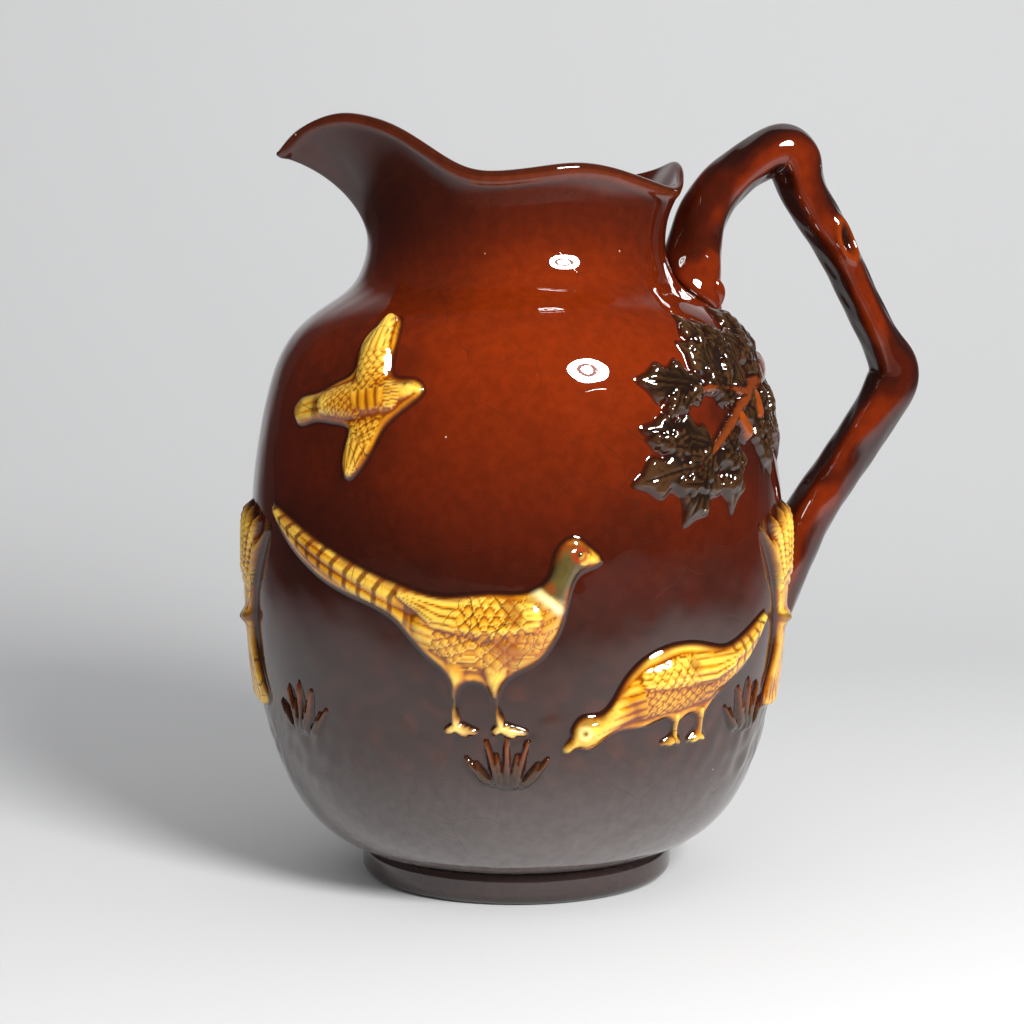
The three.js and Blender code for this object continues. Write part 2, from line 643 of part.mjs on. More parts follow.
// One relief pressed in one mould: its outlines joined flat, crowned inwards and wrapped on the belly
function relief(outlines, { turn, height, crown, flip }) {
  const side = flip ? -1 : 1;
  const pads = outlines.map((outline) => {
    const shape = new THREE.Shape(outline.map(([x, y]) => new THREE.Vector2(side * x, y)));
    const pad = new THREE.ExtrudeGeometry(shape, { depth: RELIEF_EDGE, bevelEnabled: false });
    return solidOf(bareGeometry(pad));
  });
  const joined = geometryOf(pads.reduce((whole, pad) => whole.add(pad)));
  const flat = mergeVertices(new TessellateModifier(RELIEF_STEP, 8).modify(joined), SMALLEST_SIZE);
  const position = flat.attributes.position;
  const start = PROFILE_LENGTHS[sampleAtHeight(height)];
  for (let i = 0; i < position.count; i += 1) {
    const x = position.getX(i);
    const y = position.getY(i);
    const depths = outlines.map((outline) => (
      isInside(side * x, y, outline) ? distanceToOutline(side * x, y, outline) : 0
    ));
    const run = Math.min(1, Math.max(...depths) / CROWN_RUN);
    const front = position.getZ(i) > 0.5 * RELIEF_EDGE;
    const rise = RELIEF_GAP + (front ? RELIEF_EDGE + crown * Math.sqrt(run) : 0);
    const [point, out] = bellyPlace(turn + THREE.MathUtils.radToDeg(x / BELLY_RADIUS), start + y);
    point.addScaledVector(out, rise);
    position.setXYZ(i, point.x, point.y, point.z);
  }
  return flat;
}

// The two faces of the jug: the turn of each middle, and whether its picture is mirrored
const FACES = [
  { label: "front", middle: -102, flip: false, sheaves: [-78, 76] },
  { label: "back", middle: 102, flip: true, sheaves: [76] },
];
const TUFTS = [
  // degrees from the face's middle, height
  [-52, PICTURE_HEIGHT - FAR_TUFT_DROP],
  [-2, PICTURE_HEIGHT - NEAR_TUFT_DROP],
  [58, PICTURE_HEIGHT - FAR_TUFT_DROP],
];

FACES.forEach(({ label, middle, flip, sheaves }) => {
  const side = flip ? -1 : 1;
  const at = (degrees, height, crown, mirrored = flip) => (
    { turn: middle + side * degrees, height, crown, flip: mirrored }
  );
  const add = (name, outlines, place, material) => (
    addPiece(name, relief(outlines, place), material)
  );
  const cock = smoothOutline(COCK_OUTLINE, COCK_LENGTH);
  const hen = smoothOutline(HEN_OUTLINE, HEN_LENGTH);
  const partridge = smoothOutline(PARTRIDGE_OUTLINE, PARTRIDGE_LENGTH);
  const sheaf = sheafOutline(SHEAF_HEIGHT);
  const spray = oakSprayOutlines(BRANCH_LENGTH);
  const tuft = tuftOutline(TUFT_HEIGHT);
  add(`cock_pheasant_${label}`, [cock], at(-22, PICTURE_HEIGHT, BIRD_CROWN), ochreGlaze);
  add(`hen_pheasant_${label}`, [hen], at(37, PICTURE_HEIGHT - HEN_DROP, BIRD_CROWN), ochreGlaze);
  add(`partridge_${label}`, [partridge], at(-38, PARTRIDGE_HEIGHT, BIRD_CROWN), ochreGlaze);
  sheaves.forEach((degrees, i) => (
    add(`barley_sheaf_${label}_${i + 1}`, [sheaf], at(degrees, PICTURE_HEIGHT, SHEAF_CROWN), ochreGlaze)
  ));
  add(`oak_spray_${label}`, spray, at(84, SPRAY_HEIGHT, PLANT_CROWN, !flip), leafGlaze);
  TUFTS.forEach(([degrees, height], i) => (
    add(`grass_tuft_${label}_${i + 1}`, [tuft], at(degrees, height, PLANT_CROWN), darkGlaze)
  ));
});

addPiece("jug_body", jugBody(), glaze);
addPiece("foot_ring", footRing(), darkGlaze);

const twig = twigSolid().subtract(solidOf(bareGeometry(budGeometry(CLEARANCE))));
const slipInside = jugEnvelope(CLEARANCE);
const slipOutside = jugEnvelope(CLEARANCE + SLIP_THICKNESS);
const handleSeat = jugEnvelope(2 * CLEARANCE + SLIP_THICKNESS);
addPiece("handle", geometryOf(twig.subtract(handleSeat).subtract(knotSeat())), glaze);
addPiece("handle_knot", knotGeometry(), glaze);
addPiece("handle_bud", budGeometry(0), glaze);

// Slip that joins each end of the handle to the jug
const slips = twig.intersect(slipOutside).subtract(slipInside).decompose();
slips.sort((a, b) => b.boundingBox().max[2] - a.boundingBox().max[2]);
addPiece("upper_handle_slip", geometryOf(slips[0]), glaze);
addPiece("lower_handle_slip", geometryOf(slips[1]), glaze);

// The origin is the middle of the jug's bounding box, on the surface it stands on
const bounds = new THREE.Box3().setFromObject(jug);
jug.position.set(-0.5 * (bounds.min.x + bounds.max.x), -0.5 * (bounds.min.y + bounds.max.y), -bounds.min.z);

export default jug;
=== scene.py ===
import math

import bpy
import numpy as np
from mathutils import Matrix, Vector


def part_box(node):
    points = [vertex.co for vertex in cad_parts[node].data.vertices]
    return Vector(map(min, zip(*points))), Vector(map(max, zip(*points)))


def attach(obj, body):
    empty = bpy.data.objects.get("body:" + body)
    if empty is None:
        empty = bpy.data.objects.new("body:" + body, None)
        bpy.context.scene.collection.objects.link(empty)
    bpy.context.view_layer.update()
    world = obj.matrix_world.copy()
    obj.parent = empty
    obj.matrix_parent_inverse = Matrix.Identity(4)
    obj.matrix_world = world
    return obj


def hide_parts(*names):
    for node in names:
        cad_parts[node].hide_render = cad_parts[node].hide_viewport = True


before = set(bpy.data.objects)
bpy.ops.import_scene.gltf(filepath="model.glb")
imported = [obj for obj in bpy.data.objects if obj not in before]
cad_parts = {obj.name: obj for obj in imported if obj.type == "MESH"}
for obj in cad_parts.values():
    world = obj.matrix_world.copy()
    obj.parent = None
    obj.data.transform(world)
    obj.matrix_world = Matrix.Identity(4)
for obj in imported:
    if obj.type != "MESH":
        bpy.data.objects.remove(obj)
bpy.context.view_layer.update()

MM = 0.001
foot_low, foot_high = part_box("foot_ring")
JUG_AXIS = np.array([0.5 * (foot_low.x + foot_high.x), 0.5 * (foot_low.y + foot_high.y), 0])

# Foot ring
FOOT_RADIUS = 39.5
FOOT_INNER_RADIUS = 32
FOOT_HEIGHT = 8

# Belly and neck: radius and height of the profile from the foot up
BELLY_RADIUS = 67
NECK_RADIUS = 37.2
NECK_HEIGHT = 158
BELLY_PROFILE = [
    (40.2, 8.3), (47.7, 12), (56.6, 21.9), (63, 39.9), (66.6, 65.7), (67, 81.6), (66.7, 94.8),
    (64.9, 110), (62.5, 122.1), (59.6, 131.1), (55.3, 138), (48, 144), (40.2, 150.2),
    (NECK_RADIUS, NECK_HEIGHT),
]
WALL = 3.4
FLOOR_HEIGHT = 11
BASE_RECESS = 6

# Lip and spout
LIP_THICKNESS = 2.4
TIP_THICKNESS = 1.3
LIP_RADIUS = 39.6
LIP_HEIGHT = 174
SPOUT_REACH = 59.6
SPOUT_HEIGHT = 189
SPOUT_TIP_HEIGHT = 180.3
BACK_LIP_RADIUS = 42.6
BACK_LIP_HEIGHT = 178.2

# Fineness of the glazed surfaces
COLUMNS = 448
BELLY_ROWS = 220
LIP_ROWS = 44
INSIDE_ROWS = 60

# The turn of the middle of each picture, and the height of its rough ground
FRONT_TURN = -102
BACK_TURN = 102
GROUND_TOP = 49


# Numbers and curves

def smooth(low, high, value):
    share = np.clip((value - low) / (high - low), 0, 1)
    return share * share * (3 - 2 * share)


def mix(a, b, share):
    return a + (b - a) * share


def bell(value, width):
    return np.exp(-((value / width) ** 2))


def wrapped(degrees):
    return (degrees + 180) % 360 - 180


def unit(vectors):
    return vectors / np.linalg.norm(vectors, axis=-1, keepdims=True)


def circle(turn):
    """Points on a circle of radius 1 round the axis, at turns in degrees."""
    angle = np.radians(turn)
    return np.stack([np.cos(angle), np.sin(angle), 0 * angle], axis=-1)


def soft_weights(reach, width, step=1):
    """Weights of a soft average over the places up to reach steps away on both sides."""
    weights = bell(np.arange(-reach, reach + 1) * step, width * math.sqrt(2))
    return weights / weights.sum()


def painted(colour, *layers):
    """A colour with tints laid over it in turn, each with its share."""
    for tint, share in layers:
        colour = mix(colour, tint, np.clip(share, 0, 1)[..., None])
    return colour


def cubic(knots, values, period=None):
    """A curve with smooth bends through the values at the knots, closed if a period is given."""
    x = np.asarray(knots, float)
    y = np.asarray(values, float)
    if period:
        x = np.append(x, x[0] + period)
        y = np.vstack([y, y[:1]])
    last = len(x) - 1
    span = np.diff(x)
    slope = np.diff(y, axis=0) / span[:, None]
    system = np.zeros((last + 1, last + 1))
    wanted = np.zeros_like(y)
    for i in range(1, last):
        system[i, i - 1 : i + 2] = [span[i - 1], 2 * (span[i - 1] + span[i]), span[i]]
        wanted[i] = 6 * (slope[i] - slope[i - 1])
    if period:
        system[0, [0, last]] = [1, -1]
        system[last, [0, 1]] = [2 * span[0], span[0]]
        system[last, [last - 1, last]] = [span[-1], 2 * span[-1]]
        wanted[last] = 6 * (slope[0] - slope[-1])
    else:
        system[0, 0] = 1
        system[last, last] = 1
    bend = np.linalg.solve(system, wanted)

    def at(t):
        t = np.asarray(t, float)
        if period:
            t = (t - x[0]) % period + x[0]
        i = np.clip(np.searchsorted(x, t, side="right") - 1, 0, last - 1)
        h = span[i][..., None]
        a = ((x[i + 1] - t)[..., None]) / h
        b = 1 - a
        return (
            a * y[i] + b * y[i + 1]
            + ((a**3 - a) * bend[i] + (b**3 - b) * bend[i + 1]) * h * h / 6
        )

    return at


def through(points):
    """A smooth open curve through points, with the length so far as its parameter, and its full length."""
    points = np.asarray(points, float)
    steps = np.linalg.norm(np.diff(points[:, :2], axis=0), axis=1)
    lengths = np.concatenate([[0], np.cumsum(steps)])
    return cubic(lengths, points), lengths[-1]


def ripple(turn, height, longest, seed, waves=24):
    """Soft unevenness, mostly between -1 and 1, that closes round the jug. longest is its longest wave."""
    draw = np.random.default_rng(seed)
    total = np.zeros(np.broadcast(turn, height).shape)
    for _ in range(waves):
        wave = longest * draw.uniform(0.35, 1)
        direction = draw.uniform(0, 2 * math.pi)
        round_count = round(2 * math.pi * BELLY_RADIUS / wave * math.cos(direction))
        up_rate = 2 * math.pi / wave * math.sin(direction)
        phase = draw.uniform(0, 2 * math.pi)
        total = total + np.cos(np.radians(turn) * round_count + height * up_rate + phase)
    return total / math.sqrt(waves)


# Colours as they are seen, and as the renderer wants them

def linear(colour):
    c = np.asarray(colour, float) / 255
    return np.where(c <= 0.04045, c / 12.92, ((c + 0.055) / 1.055) ** 2.4)


AMBER = linear((122, 38, 6))
TREACLE = linear((66, 19, 6))
NECK_BROWN = linear((70, 23, 10))
MAROON = linear((46, 16, 9))
GROUND = linear((46, 25, 19))
# Grey painted on the lower belly and the foot: a painted reflection of the white paper
FLOOR_REFLECTION_GREY = linear((104, 97, 96))
# Near-black brown of pooled glaze, also painted as shade round the foot of each relief
POOLED_GLAZE_AND_SHADE = linear((30, 14, 8))
RIM_ORANGE = linear((96, 38, 17))
OCHRE_PALE = linear((240, 196, 78))
OCHRE = linear((216, 142, 18))
OCHRE_DEEP = linear((168, 76, 8))
PATCH_BROWN = linear((98, 42, 20))
COAT_BROWN = linear((140, 68, 30))
LEAF_DARK = linear((31, 21, 13))
LEAF_RIDGE = linear((64, 41, 22))
BOTTLE_GREEN = linear((44, 44, 30))
CREAM = linear((250, 232, 170))
WATTLE_RED = linear((150, 40, 22))


# Jug surface: the outside of the belly, neck, lip and spout

profile, PROFILE_LENGTH = through(BELLY_PROFILE)
fine_lengths = np.linspace(0, PROFILE_LENGTH, 2001)
fine_profile = profile(fine_lengths)


def length_at(height):
    return float(np.interp(height, fine_profile[:, 1], fine_lengths))


def belly_unevenness(turn, length):
    return 0.1 * ripple(turn, length, longest=70, seed=3) + 0.025 * ripple(turn, length, longest=22, seed=4)


def picture_ground(turn, length):
    """The rough ground that the birds stand on, as a low rise."""
    height = np.interp(length, fine_lengths, fine_profile[:, 1])
    line = GROUND_TOP + 3 * ripple(turn, np.zeros_like(turn), longest=60, seed=11)
    band = smooth(line + 1.5, line - 4, height) * smooth(22, 36, height)
    lumps = ripple(turn, length, longest=13, seed=12, waves=40)
    return band * (0.22 + 0.16 * lumps)


def belly_point(turn, length, rise=0):
    """Place on the belly, from a turn in degrees and a length along the profile, raised along its normal."""
    turn = np.asarray(turn, float)
    length = np.asarray(length, float)
    spot = profile(length)
    step = unit(profile(np.minimum(length + 0.2, PROFILE_LENGTH)) - profile(np.maximum(length - 0.2, 0)))
    lift = rise + belly_unevenness(turn, length) + picture_ground(turn, length)
    radius = spot[..., 0] + lift * step[..., 1]
    height = spot[..., 1] - lift * step[..., 0]
    angle = np.radians(turn)
    return np.stack([radius * np.cos(angle), radius * np.sin(angle), height], axis=-1)


ROUND_RIM = [
    # turn, share towards the back lip, rise above the lip's height
    (-109, 0, 0), (-94, 0, 1), (-79, 0, 2), (-57, 0, 0), (-40, 0, -1.8), (-27, 0.3, -2.4), (-12, 0.7, 0.2),
    (0, 1, BACK_LIP_HEIGHT - LIP_HEIGHT), (12, 0.9, 3.6), (27, 0.5, 2), (57, 0, 0.5), (79, 0, 2), (94, 0, 1),
    (109, 0, 0),
]
SPOUT_RIM = [
    # turn, share of the reach, share of the half width, share of the height
    (130, 0, 1, 0.27), (140, 0.213, 0.791, 0.65), (151, 0.415, 0.56, 0.91), (160, 0.594, 0.37, 1),
    (168, 0.76, 0.215, 0.91), (174.5, 0.905, 0.1, 0.68),
]
# How far the lip leans out at its edge, in degrees
SIDE_LEAN = 24
BACK_LEAN = 34
SPOUT_SIDE_LEAN = 34
TIP_LEAN = 77
# Degrees over which each lean fades away
SPOUT_LEAN_REACH = 40
TIP_LEAN_REACH = 11
BACK_LEAN_REACH = 25
# How far the lip's curve keeps each end's direction, as a share of its rise and of its reach
CURVE_START = 0.45
CURVE_END = 0.38


def rim_curve():
    knots = []
    start = math.radians(SPOUT_RIM[0][0])
    for turn, out, half, up in SPOUT_RIM:
        x = mix(LIP_RADIUS * math.cos(start), -SPOUT_REACH, out)
        y = LIP_RADIUS * math.sin(start) * half
        z = mix(LIP_HEIGHT, SPOUT_HEIGHT, up)
        knots += [(turn, x, y, z), (-turn, x, -y, z)]
    for turn, back, rise in ROUND_RIM:
        radius = mix(LIP_RADIUS, BACK_LIP_RADIUS, back)
        angle = math.radians(turn)
        knots.append((turn, radius * math.cos(angle), radius * math.sin(angle), LIP_HEIGHT + rise))
    knots.append((180, -SPOUT_REACH, 0, SPOUT_TIP_HEIGHT))
    knots = np.array(sorted(knots))
    return cubic(knots[:, 0], knots[:, 1:], period=360)


rim = rim_curve()


def lip_lean(turn):
    from_tip = 180 - np.abs(turn)
    spout = (SPOUT_SIDE_LEAN - SIDE_LEAN) * bell(from_tip, SPOUT_LEAN_REACH)
    tip = (TIP_LEAN - SPOUT_SIDE_LEAN) * bell(from_tip, TIP_LEAN_REACH)
    back = (BACK_LEAN - SIDE_LEAN) * bell(turn, BACK_LEAN_REACH)
    return np.radians(SIDE_LEAN + spout + tip + back)


def lip_points(turn, shares):
    """Rows of points from the neck (share 0) up to the rim (share 1), one column for each turn."""
    neck = NECK_RADIUS * circle(turn) + [0, 0, NECK_HEIGHT]
    edge = rim(turn)
    out = unit((edge - neck) * [1, 1, 0])
    lean = lip_lean(turn)[:, None]
    along = out * np.sin(lean)
    along[:, 2] = np.cos(lean[:, 0])
    start = neck.copy()
    start[:, 2] += CURVE_START * (edge[:, 2] - NECK_HEIGHT)
    reach = np.linalg.norm(edge - neck, axis=1, keepdims=True)
    end = edge - CURVE_END * reach * along
    s = shares[:, None, None]
    return (1 - s) ** 3 * neck + 3 * s * (1 - s) ** 2 * start + 3 * s * s * (1 - s) * end + s**3 * edge


def grid_normals(points):
    """Unit normals of a grid of points whose columns go round anticlockwise and whose rows go up."""
    across = np.roll(points, -1, axis=1) - np.roll(points, 1, axis=1)
    up = np.gradient(points, axis=0)
    normal = np.cross(across, up)
    return normal / np.maximum(np.linalg.norm(normal, axis=2, keepdims=True), 1e-9)


def smooth_rows(points, weight, width):
    """Points moved towards the average of the rows near them, by each row's weight."""
    reach = int(3 * width)
    rows = len(points)
    total = np.zeros_like(points)
    for offset, share in zip(range(-reach, reach + 1), soft_weights(reach, width)):
        total += share * points[np.clip(np.arange(rows) + offset, 0, rows - 1)]
    return points + weight[:, None, None] * (total - points)


# Glaze colour of the bare jug, by place, with painted light and shade on the belly and a painted reflection
# of the paper near the foot. Below the horizon the picture's dark ground begins

HORIZON = 73
# Heights between which the colour changes, the first where the change starts
# The warm amber on each picture's middle is a sprayed gradation and also painted light where the belly faces
# the camera and lamps
WARM_FROM = (78, 142)
WARM_UNTIL = (176, 144)
NECK_DARKENS = (150, 174)
SPOUT_DARKENS_UP = (150, 176)
WORN_FROM = (30, 44)
WORN_UNTIL = (74, 52)
# Heights over which the lower belly is painted grey and then paler: a painted reflection of the white paper
FLOOR_REFLECTION_GREYS = (46, 12)
FLOOR_REFLECTION_PALES = (24, 9)
# Degrees from the middle of a picture, and from the handle, between which the colour changes
# Towards the handle and spout the ground turns maroon: a sprayed gradation, and painted shade where the
# belly turns away from the camera and lamps
SIDE_SHADE_DARKENS = (68, 110)
SPOUT_DARKENS = (118, 170)
RIM_DARKENS = (150, 176)
THICK_PLACES = [
    # degrees from the picture's middle, height, reach round the belly in degrees, reach upwards, strength
    (62, 120, 19, 21, 0.7), (80, 66, 16, 30, 0.6), (-80, 66, 14, 30, 0.6),
    (-38, 120, 17, 19, 0.45), (-40, 88, 22, 14, 0.5), (-8, 70, 20, 18, 0.45),
    (38, 58, 28, 16, 0.5), (22, 92, 10, 9, 0.3), (-36, 160, 28, 24, 0.45),
]


def thick_glaze(turn, height):
    """How much dark glaze has gathered round the reliefs."""
    degrees = wrapped(np.where(turn < 0, turn - FRONT_TURN, BACK_TURN - turn))
    thin = np.ones_like(height)
    uneven = 0.1 * ripple(turn, height, longest=24, seed=25)
    for across, up, reach, rise, strength in THICK_PLACES:
        away = np.hypot((degrees - across) / reach, (height - up) / rise)
        thin = thin * (1 - strength * smooth(1.35, 0.45, away + uneven))
    return 1 - thin


def glaze_colour(points, turn):
    """The colour under the gloss at each point, where no relief covers the jug, with painted light, shade
    and reflection.
    """
    height = points[..., 2]
    turn = np.broadcast_to(turn, height.shape)
    face = np.minimum(np.abs(turn - FRONT_TURN), np.abs(turn - BACK_TURN))
    mottle = ripple(turn, height, longest=34, seed=21)
    fine = ripple(turn, height, longest=11, seed=22, waves=36)
    # Painted light: brighter amber on each picture's middle, where the belly faces the camera and lamps,
    # over the sprayed gradation
    lit_warm_middle = bell(face - 4, 70) * smooth(*WARM_FROM, height) * smooth(*WARM_UNTIL, height)
    horizon = HORIZON + 5 * ripple(turn, 0 * height, longest=90, seed=23) + 4 * mottle
    colour = painted(
        TREACLE,
        (AMBER, lit_warm_middle + 0.03 * mottle),
        (NECK_BROWN, 0.8 * smooth(*NECK_DARKENS, height)),
        # painted shade towards the handle and spout, with the sprayed gradation
        (MAROON, 0.55 * smooth(*SIDE_SHADE_DARKENS, face)),
        (mix(MAROON, POOLED_GLAZE_AND_SHADE, 0.6), thick_glaze(turn, height)),
        (GROUND, 0.96 * smooth(horizon + 16, horizon - 20, height)),
        # painted reflection of the white paper on the lower belly
        (FLOOR_REFLECTION_GREY, 0.8 * smooth(*FLOOR_REFLECTION_GREYS, height)),
    )
    # painted reflection: paler still just above the foot
    colour = colour * (1 + 0.45 * smooth(*FLOOR_REFLECTION_PALES, height)[..., None])
    spout = smooth(*SPOUT_DARKENS, np.abs(turn)) * smooth(*SPOUT_DARKENS_UP, height)
    worn = np.clip(fine, 0, 1) * smooth(*WORN_FROM, height) * smooth(*WORN_UNTIL, height)
    colour = painted(colour, (MAROON, 0.8 * spout), (PATCH_BROWN, 0.18 * worn))
    return colour * (1 + 0.03 * fine[..., None])


# Meshes

def place(points):
    return points * MM + JUG_AXIS


def grid_object(name, points, colour, material, closed=True, caps=()):
    """A smooth mesh over a grid of points, with a colour for each. caps are rows closed with a fan."""
    rows, columns = points.shape[:2]
    spots = place(points).reshape(-1, 3)
    tints = np.broadcast_to(colour, points.shape).reshape(-1, 3)
    index = np.arange(rows * columns).reshape(rows, columns)
    right = np.roll(index, -1, axis=1) if closed else index[:, 1:]
    left = index if closed else index[:, :-1]
    quads = np.stack([left[:-1], right[:-1], right[1:], left[1:]], axis=-1).reshape(-1, 4)
    faces = [quads]
    for row in caps:
        ring = index[row]
        middle = len(spots)
        spots = np.vstack([spots, spots[ring].mean(axis=0)])
        tints = np.vstack([tints, tints[ring].mean(axis=0)])
        after = np.roll(ring, -1)
        hub = np.full(len(ring), middle)
        fan = [hub, after, ring] if row == 0 else [hub, ring, after]
        faces.append(np.stack(fan, axis=-1))
    mesh = bpy.data.meshes.new(name)
    mesh.vertices.add(len(spots))
    mesh.vertices.foreach_set("co", spots.astype(np.float32).ravel())
    corners = np.concatenate([block.ravel() for block in faces])
    sizes = np.concatenate([np.full(len(block), block.shape[1]) for block in faces])
    mesh.loops.add(len(corners))
    mesh.loops.foreach_set("vertex_index", corners.astype(np.int32))
    mesh.polygons.add(len(sizes))
    mesh.polygons.foreach_set("loop_start", (np.cumsum(sizes) - sizes).astype(np.int32))
    mesh.polygons.foreach_set("use_smooth", np.ones(len(sizes), bool))
    mesh.update(calc_edges=True)
    paint = mesh.color_attributes.new("glaze", "FLOAT_COLOR", "POINT")
    alpha = np.ones((len(spots), 1))
    paint.data.foreach_set("color", np.hstack([tints, alpha]).astype(np.float32).ravel())
    mesh.materials.append(material)
    made = bpy.data.objects.new(name, mesh)
    bpy.context.scene.collection.objects.link(made)
    return made


def glazed(node, points, colour, material, closed=True, caps=()):
    """The glazed piece that stands in for one node of the model."""
    piece = grid_object(f"glazed_{node}", points, colour, material, closed, caps)
    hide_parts(node)
    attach(piece, "root")


# Materials

UNDER_ROUGHNESS = 0.5
COAT_GLOSS = 0.018
COAT_INDEX = 1.67
# Cells of the patterns in a metre, and how far the cracks wander
CRACK_SCALE = 95
CRACK_PATCH_SCALE = 38
PINHOLE_SCALE = 150
GRAIN_SCALE = 420
WAVE_SCALE = 140
WANDER_SCALE = 90
WANDER = (0.006, 0.006, 0.006)
CRACK_COLOUR = (0.03, 0.012, 0.006, 1)
PINHOLE_COLOUR = (0.5, 0.34, 0.24, 1)


def set_sockets(tree, node, values):
    """Sets a node's inputs to numbers, or links them to the outputs of other nodes."""
    for socket, value in values.items():
        if isinstance(value, bpy.types.NodeSocket):
            tree.links.new(value, node.inputs[socket])
        else:
            node.inputs[socket].default_value = value


def add_node(tree, kind, values, **settings):
    node = tree.nodes.new(kind)
    for key, value in settings.items():
        setattr(node, key, value)
    set_sockets(tree, node, values)
    return node


def new_material(name, values):
    """A material, its tree of nodes and its shader, which has these inputs."""
    material = bpy.data.materials.new(name)
    material.use_nodes = True
    tree = material.node_tree
    shader = tree.nodes["Principled BSDF"]
    set_sockets(tree, shader, values)
    return material, tree, shader


def painted_colour(tree):
    return add_node(tree, "ShaderNodeAttribute", {}, attribute_name="glaze").outputs["Color"]


def glaze_material(name, crazing, waviness=0.05):
    """Coloured glaze under a clear gloss, with fine crazing, pinholes and a faint waviness."""
    material, tree, shader = new_material(name, {
        "Roughness": UNDER_ROUGHNESS, "Specular IOR Level": 0, "Coat Weight": 1,
        "Coat Roughness": COAT_GLOSS, "Coat IOR": COAT_INDEX,
    })

    def calculated(operation, first, second):
        return add_node(tree, "ShaderNodeMath", {0: first, 1: second}, operation=operation).outputs[0]

    def ramp(value, low, high, out_low, out_high):
        values = {"Value": value, "From Min": low, "From Max": high, "To Min": out_low, "To Max": out_high}
        made = add_node(tree, "ShaderNodeMapRange", values, interpolation_type="SMOOTHSTEP")
        return made.outputs["Result"]

    def noise(scale, detail=2):
        values = {"Vector": spot, "Scale": scale, "Detail": detail}
        return add_node(tree, "ShaderNodeTexNoise", values).outputs

    def cells(vector, scale, feature):
        values = {"Vector": vector, "Scale": scale}
        return add_node(tree, "ShaderNodeTexVoronoi", values, feature=feature).outputs

    def mixed(share, first, second):
        values = {"Factor": share, "A": first, "B": second}
        return add_node(tree, "ShaderNodeMix", values, data_type="RGBA").outputs["Result"]

    spot = add_node(tree, "ShaderNodeTexCoord", {}).outputs["Object"]
    wander = {0: noise(WANDER_SCALE)["Color"], 1: WANDER, 2: spot}
    shifted = add_node(tree, "ShaderNodeVectorMath", wander, operation="MULTIPLY_ADD").outputs[0]
    line = ramp(cells(shifted, CRACK_SCALE, "DISTANCE_TO_EDGE")["Distance"], 0.004, 0.013, 1, 0)
    crack = calculated("MULTIPLY", line, ramp(noise(CRACK_PATCH_SCALE)["Fac"], 0.42, 0.58, 0, crazing))

    holes = cells(spot, PINHOLE_SCALE, "F1")
    hole = ramp(holes["Distance"], 0.022, 0.045, 1, 0)
    chance = add_node(tree, "ShaderNodeSeparateColor", {"Color": holes["Color"]}).outputs["Red"]
    pinhole = calculated("MULTIPLY", hole, ramp(chance, 0.8, 0.81, 0, 1))

    grain = ramp(noise(GRAIN_SCALE, 3)["Fac"], 0.3, 0.7, 0.9, 1.1)
    grained = {0: painted_colour(tree), "Scale": grain}
    grained = add_node(tree, "ShaderNodeVectorMath", grained, operation="SCALE").outputs[0]
    colour = mixed(pinhole, mixed(crack, grained, CRACK_COLOUR), PINHOLE_COLOUR)

    height = calculated("SUBTRACT", noise(WAVE_SCALE, 1)["Fac"], calculated("MULTIPLY", crack, 0.25))
    height = calculated("SUBTRACT", height, calculated("MULTIPLY", pinhole, 0.7))
    bump = add_node(tree, "ShaderNodeBump", {"Strength": 1, "Distance": waviness * MM, "Height": height})
    set_sockets(tree, shader, {"Base Color": colour, "Coat Normal": bump.outputs["Normal"]})
    return material


treacle_glaze = glaze_material("treacle_glaze", crazing=0.32)
handle_glaze = glaze_material("handle_glaze", crazing=0.1, waviness=0.09)
dark_glaze = glaze_material("dark_glaze", crazing=0)
RELIEF_GLAZES = {
    "ochre_glaze": glaze_material("ochre_glaze", crazing=0.75),
    "leaf_glaze": glaze_material("leaf_glaze", crazing=0),
    "dark_glaze": dark_glaze,
}


# Jug body

RIM_BAND = 2.2
RIM_BEAD = 0.3
# Height of the rim's roll as a share of the wall, and degrees over which the spout's tip is thinner
ROLL_HEIGHT = 0.44
TIP_THIN_REACH = 14
# Share of the belly's rows over which the neck's bend is softened
NECK_SOFT_SHARE = 0.07
# Depth below the rim over which the wall gains its thickness, and the row where the inside ends
LIP_TAPER = 16
LOWEST_INSIDE_ROW = 22
TURNS = -180 + 360 * np.arange(COLUMNS) / COLUMNS


